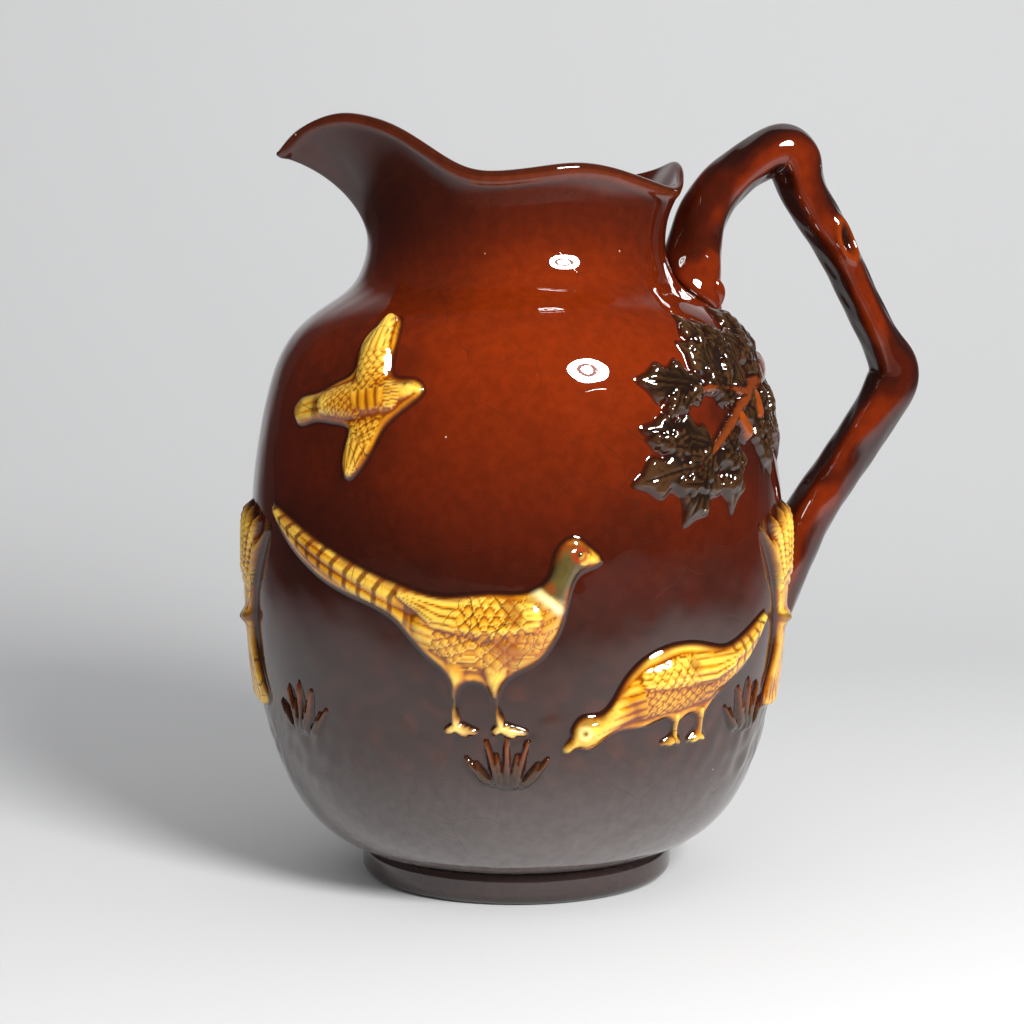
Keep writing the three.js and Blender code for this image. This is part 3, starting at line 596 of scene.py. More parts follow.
def make_body():
    lengths = np.linspace(0, PROFILE_LENGTH, BELLY_ROWS)
    belly = belly_point(*np.meshgrid(TURNS, lengths))
    lip = lip_points(TURNS, np.linspace(0, 1, LIP_ROWS + 1)[1:])
    outside = np.concatenate([belly, lip])
    near_neck = bell(np.arange(len(outside)) - BELLY_ROWS, NECK_SOFT_SHARE * BELLY_ROWS)
    outside = smooth_rows(outside, near_neck, width=3)

    normal = grid_normals(outside)
    steps = np.linalg.norm(np.diff(outside, axis=0), axis=2)
    below_rim = np.concatenate([np.cumsum(steps[::-1], axis=0)[::-1], np.zeros((1, COLUMNS))])
    bead = RIM_BEAD * bell(below_rim - 0.5 * RIM_BAND, 0.45 * RIM_BAND)
    outside = outside + normal * bead[..., None]

    tip = smooth(*RIM_DARKENS, np.abs(TURNS))[None, :, None]
    colour = painted(
        glaze_colour(outside, TURNS[None, :]),
        (mix(RIM_ORANGE, MAROON, 0.75 * tip), 0.85 * smooth(RIM_BAND + 0.5, RIM_BAND - 0.7, below_rim)),
        (POOLED_GLAZE_AND_SHADE, 0.35 * bell(below_rim - RIM_BAND - 0.7, 0.5)),
        (POOLED_GLAZE_AND_SHADE, smooth(1.3, 0, outside[..., 2] - FOOT_HEIGHT)),
    )

    lip_wall = mix(LIP_THICKNESS, TIP_THICKNESS, bell(180 - np.abs(TURNS), TIP_THIN_REACH))
    along = unit(outside[-1] - outside[-3])
    roll = []
    for degrees in np.linspace(0, 180, 11)[1:-1]:
        angle = math.radians(degrees)
        inward = 0.5 * lip_wall * (1 - math.cos(angle))
        upward = ROLL_HEIGHT * lip_wall * math.sin(angle)
        roll.append(outside[-1] - normal[-1] * inward[:, None] + along * upward[:, None])

    wall = mix(lip_wall[None, :], WALL, smooth(0, LIP_TAPER, below_rim))
    inner = outside - normal * wall[..., None]
    inner = inner[np.unique(np.linspace(len(outside) - 1, LOWEST_INSIDE_ROW, INSIDE_ROWS).astype(int))[::-1]]
    floor = inner[-1] * np.array([0.9, 0.9, 0]) + np.array([0, 0, FLOOR_HEIGHT])
    recess = (FOOT_INNER_RADIUS - 0.4) * circle(TURNS)
    underside = np.array([recess + [0, 0, BASE_RECESS], recess + [0, 0, FOOT_HEIGHT + 0.3]])

    points = np.concatenate([underside, outside, roll, inner, floor[None]])
    roll_colour = np.broadcast_to(mix(RIM_ORANGE, POOLED_GLAZE_AND_SHADE, 0.55), np.shape(roll))
    inner_colour = np.broadcast_to(mix(TREACLE, AMBER, 0.4), inner.shape)
    plain = np.broadcast_to(POOLED_GLAZE_AND_SHADE, (1,) + inner.shape[1:])
    colours = np.concatenate([plain, plain, colour, roll_colour, inner_colour, plain])
    glazed("jug_body", points, colours, treacle_glaze, caps=(0, len(points) - 1))


def make_foot():
    section = [
        (FOOT_INNER_RADIUS, FOOT_HEIGHT), (FOOT_INNER_RADIUS, 1), (FOOT_INNER_RADIUS + 1, 0),
        (FOOT_RADIUS - 4, 0),
    ]
    for degrees in range(-90, 1, 9):
        roll = math.radians(degrees)
        section.append((FOOT_RADIUS - 3 + 3 * math.cos(roll), 3 + 3 * math.sin(roll)))
    for inset, height in [(0.05, 4.5), (0.1, 6), (0.3, 7), (0.9, 7.7), (2, FOOT_HEIGHT)]:
        section.append((FOOT_RADIUS - inset, height))
    rows = np.array([circle(TURNS) * radius + [0, 0, height] for radius, height in section])
    # Painted reflection of the white paper greys the foot, and painted shade darkens it towards the paper
    shade = 0.5 + 0.5 * smooth(0, 3, rows[..., 2:])
    colour = mix(mix(POOLED_GLAZE_AND_SHADE, MAROON, 0.5), FLOOR_REFLECTION_GREY, 0.15) * shade
    glazed("foot_ring", rows, colour, dark_glaze)


make_body()
make_foot()


# Twig handle: reach, height, half depth and half width along its spine

HANDLE_SPINE = [
    (44, 141, 8.5, 9.3), (45.5, 149, 8, 8.5), (46.6, 158, 7, 7.5), (49, 166.5, 6.4, 6.7),
    (56, 176, 6, 6.3), (63.5, 181.3, 6, 6.3), (70.3, 183.1, 6.9, 6.3), (74.7, 175.6, 6.2, 6.3),
    (80.3, 165.6, 5.6, 6.3), (85.9, 155.7, 4.9, 6.3), (94.3, 140.2, 4.7, 6.3), (98.6, 131.9, 5.4, 6.3),
    (100.5, 127.8, 6.3, 6.3), (96.9, 116.9, 6.2, 6.3), (91.9, 109.8, 6.1, 6.3), (84, 98.4, 6, 6.3),
    (77.5, 88.5, 6.3, 6.8), (74, 80, 6, 7.1), (71, 71, 5, 6.3), (68.8, 63, 4, 4.3),
    (67, 57, 2.6, 2.3),
]
HANDLE_COLUMNS = 144
HANDLE_SIDES = 360 * np.arange(HANDLE_COLUMNS) / HANDLE_COLUMNS
HANDLE_ROWS = 520
ROOT_SINK = 1.4
KNOT_SPOT = (83.7, 159.6)
KNOT_SIDE = 66
KNOT_REACH = 5.8
KNOT_HALF_LENGTH = 5
KNOT_HALF_WIDTH = 2.9
KNOT_RIM = 0.75
KNOT_HOLLOW = 1.1
KNOT_PIECE_DROP = 0.12
PEAK_RISE = 0.75
PEAK_SPOT = (73.4, 180.4)
# Dents: reach and height of the spine beside each, degrees from the outer side, radius, depth
DENTS = [
    (46.8, 160.5, 118, 2.6, 0.7), (47.5, 164, 75, 4, 0.35), (58, 178, 60, 3.5, 0.4),
    (66, 182, 150, 3, 0.6), (76.5, 172, 100, 4.5, 0.5), (91, 146, 60, 4, 0.4),
    (99, 122, 110, 4, 0.6), (88, 104, 70, 4.5, 0.4), (76, 85, 100, 4, 0.5),
    (73.5, 178, 140, 2.4, 0.7), (46.4, 156.5, 80, 2.2, 0.5), (52.5, 172, 95, 2.6, 0.45),
    (83, 97, 115, 2.6, 0.45),
]

spine, SPINE_LENGTH = through(HANDLE_SPINE)
fine_spine_lengths = np.linspace(0, SPINE_LENGTH, 1201)
fine_spine = spine(fine_spine_lengths)


def spine_length_near(reach, height):
    return fine_spine_lengths[np.argmin(np.hypot(fine_spine[:, 0] - reach, fine_spine[:, 1] - height))]


KNOT_LENGTH = spine_length_near(*KNOT_SPOT)
PEAK_LENGTH = spine_length_near(*PEAK_SPOT)


def knot_rise(length, degrees):
    """The raised rim and the hollow of a cut side twig, by place on the handle."""
    along = (length - KNOT_LENGTH) / KNOT_HALF_LENGTH
    across = np.radians(wrapped(degrees - KNOT_SIDE)) * KNOT_REACH / KNOT_HALF_WIDTH
    lean = across - 0.25 * along
    ring = np.hypot(along, lean)
    hollow = np.hypot(along - 0.22, lean)
    return KNOT_RIM * bell(ring - 1, 0.34) - KNOT_HOLLOW * smooth(0.95, 0.25, hollow), ring


def handle_shape(length, degrees):
    """Unevenness of the twig: soft facets that turn slowly, flutes, lumps, dents and the knot."""
    angle = np.radians(degrees)
    facets = 0.34 * np.cos(3 * angle + 0.9 + 0.5 * np.sin(length / 31))
    flutes = 0.12 * np.cos(5 * angle + 1.3 + 0.8 * np.sin(length / 23))
    lumps = 0.17 * np.sin(length / 6.1 + 1.7 * np.sin(length / 19) + 2 * np.cos(angle + 0.6))
    knobs = 0.1 * np.sin(length / 2.3 + 2 * np.sin(2 * angle)) * np.cos(3 * angle + length / 5.3)
    peak = PEAK_RISE * bell(length - PEAK_LENGTH, 3.6) * smooth(0.2, 1, np.cos(angle))
    shape = facets + flutes + lumps + knobs + peak
    for reach, height, side, radius, depth in DENTS:
        along = length - spine_length_near(reach, height)
        across = np.radians(wrapped(degrees - side)) * 6
        shape = shape - depth * bell(np.hypot(along / 1.5, across), radius)
    return shape


def handle_surface(length, degrees, rise):
    spot = spine(length)
    step = spine(np.minimum(length + 0.15, SPINE_LENGTH)) - spine(np.maximum(length - 0.15, 0))
    step = unit(step[..., :2])
    angle = np.radians(degrees)
    depth = (spot[..., 2] + rise) * np.cos(angle)
    y = -(spot[..., 3] + rise) * np.sin(angle)
    return np.stack([spot[..., 0] - step[..., 1] * depth, y, spot[..., 1] + step[..., 0] * depth], axis=-1)


back_meridian = np.concatenate([
    fine_profile[:-1:8],
    lip_points(np.array([0]), np.linspace(0, 1, 40))[:, 0][:, [0, 2]],
])


def nearest_on_jug(points):
    """Gap to the nearest place of the meridian behind the handle, its number, and each point's radius."""
    radius = np.hypot(points[..., 0], points[..., 1])
    gap = np.full(radius.shape, np.inf)
    number = np.zeros(radius.shape, int)
    for i, (r, z) in enumerate(back_meridian):
        distance = np.hypot(radius - r, points[..., 2] - z)
        number = np.where(distance < gap, i, number)
        gap = np.minimum(gap, distance)
    return gap, number, radius


def gap_to_jug(points):
    """Distance from the outside of the jug, on the handle's side, with minus inside it."""
    gap, _, radius = nearest_on_jug(points)
    order = np.argsort(back_meridian[:, 1])
    surface = np.interp(points[..., 2], back_meridian[order, 1], back_meridian[order, 0])
    return np.where(radius < surface, -gap, gap)


def handle_ends(gap):
    """For each side of the handle, the lengths at which it stands that far out of the jug."""
    tries = np.linspace(0, SPINE_LENGTH, 901)
    length, side = np.meshgrid(tries, HANDLE_SIDES, indexing="ij")
    out = gap_to_jug(handle_surface(length, side, 0)) > gap
    middle = len(tries) // 2
    starts = []
    ends = []
    for column in out.T:
        buried = np.flatnonzero(~column[:middle])
        starts.append(tries[buried[-1]] if len(buried) else 0)
        buried = np.flatnonzero(~column[middle:])
        ends.append(tries[middle + buried[0]] if len(buried) else SPINE_LENGTH)
    return ring_smooth(np.array(starts)), ring_smooth(np.array(ends))


def ring_smooth(values, times=6):
    for _ in range(times):
        values = 0.25 * np.roll(values, 1) + 0.5 * values + 0.25 * np.roll(values, -1)
    return values


def handle_colour(length, degrees, shape):
    angle = np.radians(degrees)
    mottle = np.sin(length / 7.3 + 2.1 * np.sin(angle)) * np.cos(length / 17 + 1.5 * np.cos(angle))
    # Painted light: lighter on the side that faces the camera and lamps, darker towards the inner and back
    # sides
    lit_side = bell(wrapped(degrees - 100), 42)
    share = smooth(-0.7, 1.1, 1.3 * shape + 0.3 * mottle + 0.55 * lit_side)[..., None]
    # painted light: lighter towards the upper root
    share = share + 0.4 * smooth(34, 8, length + 0 * share[..., 0])[..., None]
    colour = mix(mix(MAROON, POOLED_GLAZE_AND_SHADE, 0.3), TREACLE, smooth(0, 0.5, share))
    return mix(colour, mix(AMBER, TREACLE, 0.35), smooth(0.5, 1, share))


def make_handle():
    starts, ends = handle_ends(-ROOT_SINK)
    share = np.linspace(0, 1, HANDLE_ROWS)[:, None]
    length = mix(starts[None, :], ends[None, :], share)
    side = HANDLE_SIDES[None, :] + 0 * share
    gap = gap_to_jug(handle_surface(length, side, 0))
    spread = 0.7 * bell(gap - 1.8, 1.6) - 0.5 * smooth(0.9, 0, gap)
    knot, ring = knot_rise(length, side)
    shape = handle_shape(length, side) * smooth(0, 5, gap)
    points = handle_surface(length, side, shape + knot + spread)
    colour = painted(handle_colour(length, side, shape + 0.5 * knot), (POOLED_GLAZE_AND_SHADE, 0.8 * smooth(1.2, 0.2, gap)))
    # The knot piece lies over the same rim and hollow, so the handle drops a little there
    points = points - KNOT_PIECE_DROP * grid_normals(points) * smooth(1.5, 1.3, ring)[..., None]
    glazed("handle", points[::-1], colour[::-1], handle_glaze, caps=(0, HANDLE_ROWS - 1))


def make_knot():
    along = np.linspace(-1.75, 1.75, 70) * KNOT_HALF_LENGTH
    across = np.linspace(-2, 2, 60) * np.degrees(KNOT_HALF_WIDTH / KNOT_REACH)
    length, side = np.meshgrid(KNOT_LENGTH + along, KNOT_SIDE + across, indexing="ij")
    knot, ring = knot_rise(length, side)
    shape = handle_shape(length, side)
    lift = mix(0, -0.2, smooth(1.4, 1.65, ring))
    points = handle_surface(length, side, shape + knot + lift)
    colour = painted(
        handle_colour(length, side, shape),
        (mix(AMBER, OCHRE_DEEP, 0.25), 0.75 * bell(ring - 1, 0.3)),
        (POOLED_GLAZE_AND_SHADE, 0.9 * smooth(0.75, 0.35, ring)),
    )
    glazed("handle_knot", points[::-1], colour[::-1], handle_glaze, closed=False)


BUD_MIDDLE = (50.6, -6.4, 147)
BUD_LENGTH = 7.6
BUD_RADIUS = 2.1


def make_bud():
    """A closed bud that hugs the lower end of the upper root."""
    share = np.linspace(0, 1, 40)[:, None]
    angle = np.radians(np.arange(0, 360, 10))[None, :]
    radius = BUD_RADIUS * np.sin(math.pi * share**0.8) ** 0.75 + 0.02
    groove = 1 - 0.16 * bell(wrapped(np.degrees(angle) - 200), 22)
    x = BUD_MIDDLE[0] + radius * groove * np.cos(angle) + 1.2 * (share - 0.5)
    y = BUD_MIDDLE[1] + 0.75 * radius * groove * np.sin(angle) + 0.6 * (share - 0.5)
    z = BUD_MIDDLE[2] + BUD_LENGTH * (0.5 - share) + 0 * angle
    points = np.stack([x, y, z], axis=-1)[::-1]
    light = smooth(0.8, 1, groove / groove.max())[..., None] + 0 * points[..., :1]
    colour = mix(POOLED_GLAZE_AND_SHADE, mix(AMBER, TREACLE, 0.4), light)
    glazed("handle_bud", points, colour, handle_glaze, caps=(0, len(points) - 1))


SLIP_UP_HANDLE = 1.1
SLIP_OUT_ON_JUG = 1.3


def jug_surface_near(points):
    """The nearest places on the outside of the jug, on the handle's side."""
    _, number, radius = nearest_on_jug(points)
    r, z = back_meridian[number].T
    return np.stack([points[..., 0] * (r / radius), points[..., 1] * (r / radius), z], axis=-1)


def make_slip(node, lower):
    """The strip of slip round one end of the handle, hollow in section, from the handle to the jug."""
    at_jug = handle_ends(0)[1 if lower else 0]
    on_handle = handle_ends(SLIP_UP_HANDLE)[1 if lower else 0]
    corner = handle_surface(at_jug, HANDLE_SIDES, -0.3)
    start = handle_surface(on_handle, HANDLE_SIDES, -0.05)
    outward = corner - corner.mean(axis=0)
    neighbour = unit(np.roll(corner, -1, axis=0) - np.roll(corner, 1, axis=0))
    outward = unit(outward - neighbour * (outward * neighbour).sum(axis=1, keepdims=True))
    end = jug_surface_near(corner + SLIP_OUT_ON_JUG * outward)
    corner = jug_surface_near(corner)
    s = np.linspace(0, 1, 12)[:, None, None]
    strip = (1 - s) ** 2 * start + 2 * s * (1 - s) * corner + s * s * end
    inside = strip[0] - 0.9 * (strip[0] - corner)
    points = np.concatenate([strip, (corner - 0.6 * outward)[None], inside[None]])
    shade = mix(POOLED_GLAZE_AND_SHADE, TREACLE, 0.25)
    glazed(node, points if lower else points[::-1], shade, handle_glaze)


make_handle()
make_knot()
make_bud()
make_slip("upper_handle_slip", lower=False)
make_slip("lower_handle_slip", lower=True)


# Sculpting of the reliefs, in millimetres on a flat sheet: x to the right, y up

RELIEF_STEP = 0.4
RELIEF_MARGIN = 2.2
RELIEF_SINK = 0.03
# Distance inside the outline at which a relief has half its height, and how soft its edge is
EDGE_MIDDLE = 0.12
EDGE_SOFTNESS = 0.26


def in_motif(points, length):
    """Points given in percent of a motif's length, in millimetres from the middle of its foot."""
    points = np.asarray(points, float)
    return (points - [50, 0]) * 0.01 * length


def signed_distance(X, Y, outline):
    """Distance to a closed smooth outline through points, plus inside and minus outside."""
    steps = np.linalg.norm(np.roll(outline, -1, axis=0) - outline, axis=1)
    knots = np.concatenate([[0], np.cumsum(steps)[:-1]])
    curve = cubic(knots, outline, period=steps.sum())
    fine = curve(np.linspace(0, steps.sum(), 5 * len(outline), endpoint=False))
    nearest = np.full(X.shape, np.inf)
    inside = np.zeros(X.shape, bool)
    for (ax, ay), (bx, by) in zip(fine, np.roll(fine, -1, axis=0)):
        dx = bx - ax
        dy = by - ay
        t = np.clip(((X - ax) * dx + (Y - ay) * dy) / (dx * dx + dy * dy), 0, 1)
        nearest = np.minimum(nearest, np.hypot(X - ax - t * dx, Y - ay - t * dy))
        crosses = ((ay > Y) != (by > Y)) & (X < ax + dx * (Y - ay) / (dy if dy else 1e-9))
        inside ^= crosses
    return np.where(inside, nearest, -nearest)


def stroke(X, Y, path, radii):
    """A tapering stroke: distance from it over its radius, length along it and share across it."""
    nearest = np.full(X.shape, np.inf)
    along = np.zeros(X.shape)
    across = np.zeros(X.shape)
    so_far = 0
    for (ax, ay), (bx, by), ra, rb in zip(path[:-1], path[1:], radii[:-1], radii[1:]):
        dx = bx - ax
        dy = by - ay
        length = math.hypot(dx, dy)
        t = np.clip(((X - ax) * dx + (Y - ay) * dy) / length**2, 0, 1)
        radius = ra + (rb - ra) * t
        q = np.hypot(X - ax - t * dx, Y - ay - t * dy) / radius
        closer = q < nearest
        nearest = np.where(closer, q, nearest)
        along = np.where(closer, so_far + t * length, along)
        across = np.where(closer, (dx * (Y - ay) - dy * (X - ax)) / length / radius, across)
        so_far += length
    return nearest, along, across


def strokes_of(X, Y, length):
    """Makes the strokes of a motif from paths in percent of its length."""
    return lambda path, radii: stroke(X, Y, in_motif(path, length), radii)


def dome(q, height):
    return height * np.clip(1 - q * q, 0, 1) ** 0.65


def join(first, *others, soft=0.25):
    """Heights joined one after another, with a soft crease between them."""
    for height in others:
        first = 0.5 * (first + height + np.sqrt((first - height) ** 2 + soft**2)) - 0.5 * soft
    return first


def edge_lift(distance):
    """How much of a relief's lift is reached at a distance inside its outline: a soft, rounded wall."""
    return 1 / (1 + np.exp(-np.clip((distance - EDGE_MIDDLE) / EDGE_SOFTNESS, -30, 30)))


def scales(u, v, size):
    """Overlapping rows of feathers as a sawtooth from 0 at each root to 1 at each tip."""
    pitch = 0.62 * size
    row = np.floor(v / pitch)
    part = v / pitch - row
    column = (u / size + 0.5 * (row % 2)) % 1 - 0.5
    bow = 3.2 * column**2
    return np.where(part > bow, part - bow, part - bow + 1) % 1


def blur(values, width):
    reach = max(1, int(2.5 * width / RELIEF_STEP))
    kernel = soft_weights(reach, width, RELIEF_STEP)
    padded = np.pad(values, reach, mode="edge")
    rows = sum(k * padded[i : i + values.shape[0]] for i, k in enumerate(kernel))
    return sum(k * rows[:, i : i + values.shape[1]] for i, k in enumerate(kernel))


def clouds(like, size, seed):
    """Soft random patches with a spread of about 1, over the same grid."""
    draw = np.random.default_rng(seed)
    field = blur(draw.standard_normal(like.shape), size)
    return field / field.std()


def glaze_over(rise, deep, middle, pale):
    """Colour of runny glaze on a relief: thick and deep in the hollows, thin and pale on the heights."""
    convex = (rise - blur(rise, 0.7)) / 0.16 + (rise - blur(rise, 2.2)) / 0.75
    downhill = np.gradient(blur(rise, 0.6), RELIEF_STEP, axis=0)
    convex = convex - 0.7 * downhill + 0.45 * clouds(rise, size=3.2, seed=31)
    share = smooth(-1.5, 1.6, convex)[..., None]
    colour = mix(deep, middle, smooth(0, 0.5, share))
    return mix(colour, pale, smooth(0.5, 1, share))


def with_legs(rise, part, legs, radii, height):
    """Legs and toes joined to a bird, and how far off they are in shares of their radius."""
    gap = 99
    for hip, ankle, toes in legs:
        for path in [(hip, ankle)] + [(ankle, toe) for toe in toes]:
            leg, _, _ = part(path, radii)
            gap = np.minimum(gap, leg)
            rise = join(rise, dome(leg, height), soft=0.1)
    return rise, gap


def slim_legs(rise, distance, legs, Y, top):
    """Thin legs and toes on a low pad that has the ground's colour."""
    pad = smooth(0.95, 1.5, legs) * smooth(11, 8, legs) * smooth(top, 0.84 * top, Y)
    return rise * (1 - 0.8 * pad), distance - 2.5 * pad


def eye_distance(X, Y, spot, length):
    x, y = in_motif(spot, length)
    return np.hypot(X - x, Y - y)


def feathers(wing, along, across, spread, size, quill_rate, rear):
    """Where a folded wing lies, its coverts, its quills, and where they take over from the coverts."""
    coverts = scales(along, 4 + across * spread, size)
    quills = np.abs(np.cos(across * quill_rate + 0.4))
    return smooth(1.02, 0.9, wing), coverts, quills, smooth(rear, rear + 4, along)


def ochre_over(rise, deepest=0.5):
    return glaze_over(rise, mix(OCHRE_DEEP, POOLED_GLAZE_AND_SHADE, deepest), OCHRE, OCHRE_PALE)


# The motifs: outlines in percent of each motif's own length, feet at 0

COCK_LENGTH = 90
HEN_LENGTH = 64
PARTRIDGE_LENGTH = 42
SHEAF_HEIGHT = 50
BRANCH_LENGTH = 58
BRANCH_DROOP = 18
LEAF_LENGTH = 21
LEAF_WIDTH = 12.5
TUFT_HEIGHT = 16

COCK_OUTLINE = [
    (100, 45.5), (97, 49), (93, 51.5), (89, 48.5), (87, 42), (82, 38), (72, 37.5), (60, 36.5), (50, 38.5),
    (30, 45.5), (0, 56), (26, 38.5), (48, 29.5), (55, 22), (60.5, 17), (61.2, 8), (59, 2), (64, 0.3),
    (68.5, 1.5), (64.4, 4.5), (64.8, 14.5), (70, 14.5), (72.5, 7.5), (72, 2), (77.5, 0.3), (81.5, 1.5),
    (76, 4.5), (75.5, 15.5), (83, 20), (88.5, 27), (91.5, 36), (94, 42.5), (96.5, 43.8),
]
HEN_OUTLINE = [
    (0, 1.2), (2.4, 5.8), (3.8, 10.2), (8, 14), (13, 14.2), (17, 17), (21, 23.5), (28, 32), (40, 37.5),
    (55, 37.5), (68, 35), (84, 39.5), (100, 44), (88, 31), (73, 21.5), (63, 14.5), (60, 7), (62, 1.5),
    (57, 0.2), (52.5, 1.2), (56, 4), (55.5, 11.5), (49.5, 10.8), (47.5, 6), (49, 1.5), (44, 0.2),
    (39.5, 1.2), (43.5, 4), (43.5, 10.5), (32, 9), (24, 8.5), (18, 7), (13.5, 3.6), (8, 2), (4.6, 2.6),
    (1.4, 0.5),
]
PARTRIDGE_OUTLINE = [
    (100, 51), (95, 56.5), (87, 57), (80, 58), (76, 72), (66, 97), (55, 90), (49, 74), (50, 61), (38, 54),
    (20, 47), (2, 40), (5, 31), (22, 32), (38, 32), (52, 29), (50, 14), (54, 2), (67, 12), (77, 30),
    (88, 40), (96, 46),
]
# Legs: hip, ankle and toes
COCK_LEGS = [
    ((63, 12), (62.6, 3), [(67.8, 1.7), (65.2, 0.8), (60, 1.4)]),
    ((74, 13), (74.4, 3), [(80.8, 1.7), (77.8, 0.8), (72.3, 1.4)]),
]
HEN_LEGS = [
    ((46, 12), (45.6, 3), [(40.5, 1.7), (43.4, 0.8), (48, 1.6)]),
    ((58, 13), (58, 3), [(53.2, 1.7), (56, 0.8), (61, 1.5)]),
]


def cock_pheasant(X, Y):
    part = strokes_of(X, Y, COCK_LENGTH)
    distance = signed_distance(X, Y, in_motif(COCK_OUTLINE, COCK_LENGTH))
    body, body_along, body_across = part([(58, 29), (68, 26.5), (77, 27), (84, 31)], (6, 8.4, 8.6, 6.4))
    neck, neck_along, _ = part([(81, 29), (87.5, 37), (91.5, 44)], (6.2, 4.2, 3.2))
    head, _, _ = part([(91.8, 46.2), (94, 46.6)], (3.5, 3.1))
    beak, _, _ = part([(95.5, 46.3), (100, 45.4)], (1.6, 0.5))
    tail, tail_along, tail_across = part([(60, 31), (42, 37.6), (22, 45.8), (0, 55.8)], (6, 4.6, 3.2, 1))
    wing, wing_along, wing_across = part([(81, 32), (71, 31.5), (60, 33), (49, 37)], (3.6, 5, 4.2, 1))
    near_thigh, _, _ = part([(73, 21), (74, 12)], (4, 1.6))
    far_thigh, _, _ = part([(63.5, 21), (62.8, 11)], (3.6, 1.5))
    rise = join(dome(tail, 1.1), dome(far_thigh, 1.4), dome(body, 2.3), dome(near_thigh, 1.9),
                dome(neck, 1.9), dome(head, 1.9))
    rise = join(rise, dome(beak, 1), soft=0.1)
    rise, legs = with_legs(rise, part, COCK_LEGS, (0.75, 0.6), 0.9)
    on_wing, coverts, quills, rear = feathers(wing, wing_along, wing_across, 4, 2.6, 7.5, 13)
    rise = rise + 0.75 * on_wing * smooth(1.05, 0.55, wing)
    rise = rise + on_wing * mix(0.32 * coverts, 0.34 * quills, rear)
    on_tail = smooth(1, 0.8, tail) * smooth(4, 9, tail_along) * (1 - on_wing)
    rise = rise + 0.3 * on_tail * np.abs(np.cos(tail_across * 4.7))
    bare = (1 - on_wing) * (1 - on_tail)
    breast = scales(body_across * 8, body_along, 2.9)
    rise = rise + 0.3 * smooth(1, 0.85, body) * bare * breast
    eye = eye_distance(X, Y, (94.2, 47.4), COCK_LENGTH)
    rise = rise + 0.3 * bell(eye, 0.6) - 0.2 * bell(eye - 1.1, 0.4)
    rise = (1.05 + rise) * edge_lift(distance)
    rise, distance = slim_legs(rise, distance, legs, Y, 0.115 * COCK_LENGTH)

    coat = smooth(1, 0.8, body) * bare * smooth(9, 15, body_along)
    bars = smooth(0.35, 0.75, np.cos(2 * math.pi * (tail_along + 1.2 * np.abs(tail_across)) / 4.4))
    on_head = np.maximum(smooth(1.1, 0.9, head), smooth(1.05, 0.85, neck) * smooth(8.6, 9.4, neck_along))
    on_head = on_head * smooth(1.15, 1, np.minimum(head, neck)) * smooth(0.8, 1, beak)
    colour = painted(
        ochre_over(rise, 0.55),
        (COAT_BROWN, coat * (0.45 + 0.5 * smooth(0.35, 0, breast))),
        (PATCH_BROWN, 0.75 * on_wing * (1 - rear) * smooth(0.42, 0, coverts)),
        (PATCH_BROWN, 0.6 * on_wing * rear * smooth(0.45, 0.1, quills)),
        (PATCH_BROWN, 0.85 * on_tail * bars),
        (BOTTLE_GREEN, 0.92 * on_head),
        (CREAM, 0.95 * bell(neck_along - 7.9, 1) * smooth(1.1, 0.9, neck)),
        (WATTLE_RED, 0.8 * bell(eye - 1.3, 0.7)),
        (POOLED_GLAZE_AND_SHADE, bell(eye, 0.55)),
        (mix(CREAM, OCHRE, 0.4), 0.5 * smooth(13, 9.5, Y)),
    )
    return rise, colour, distance


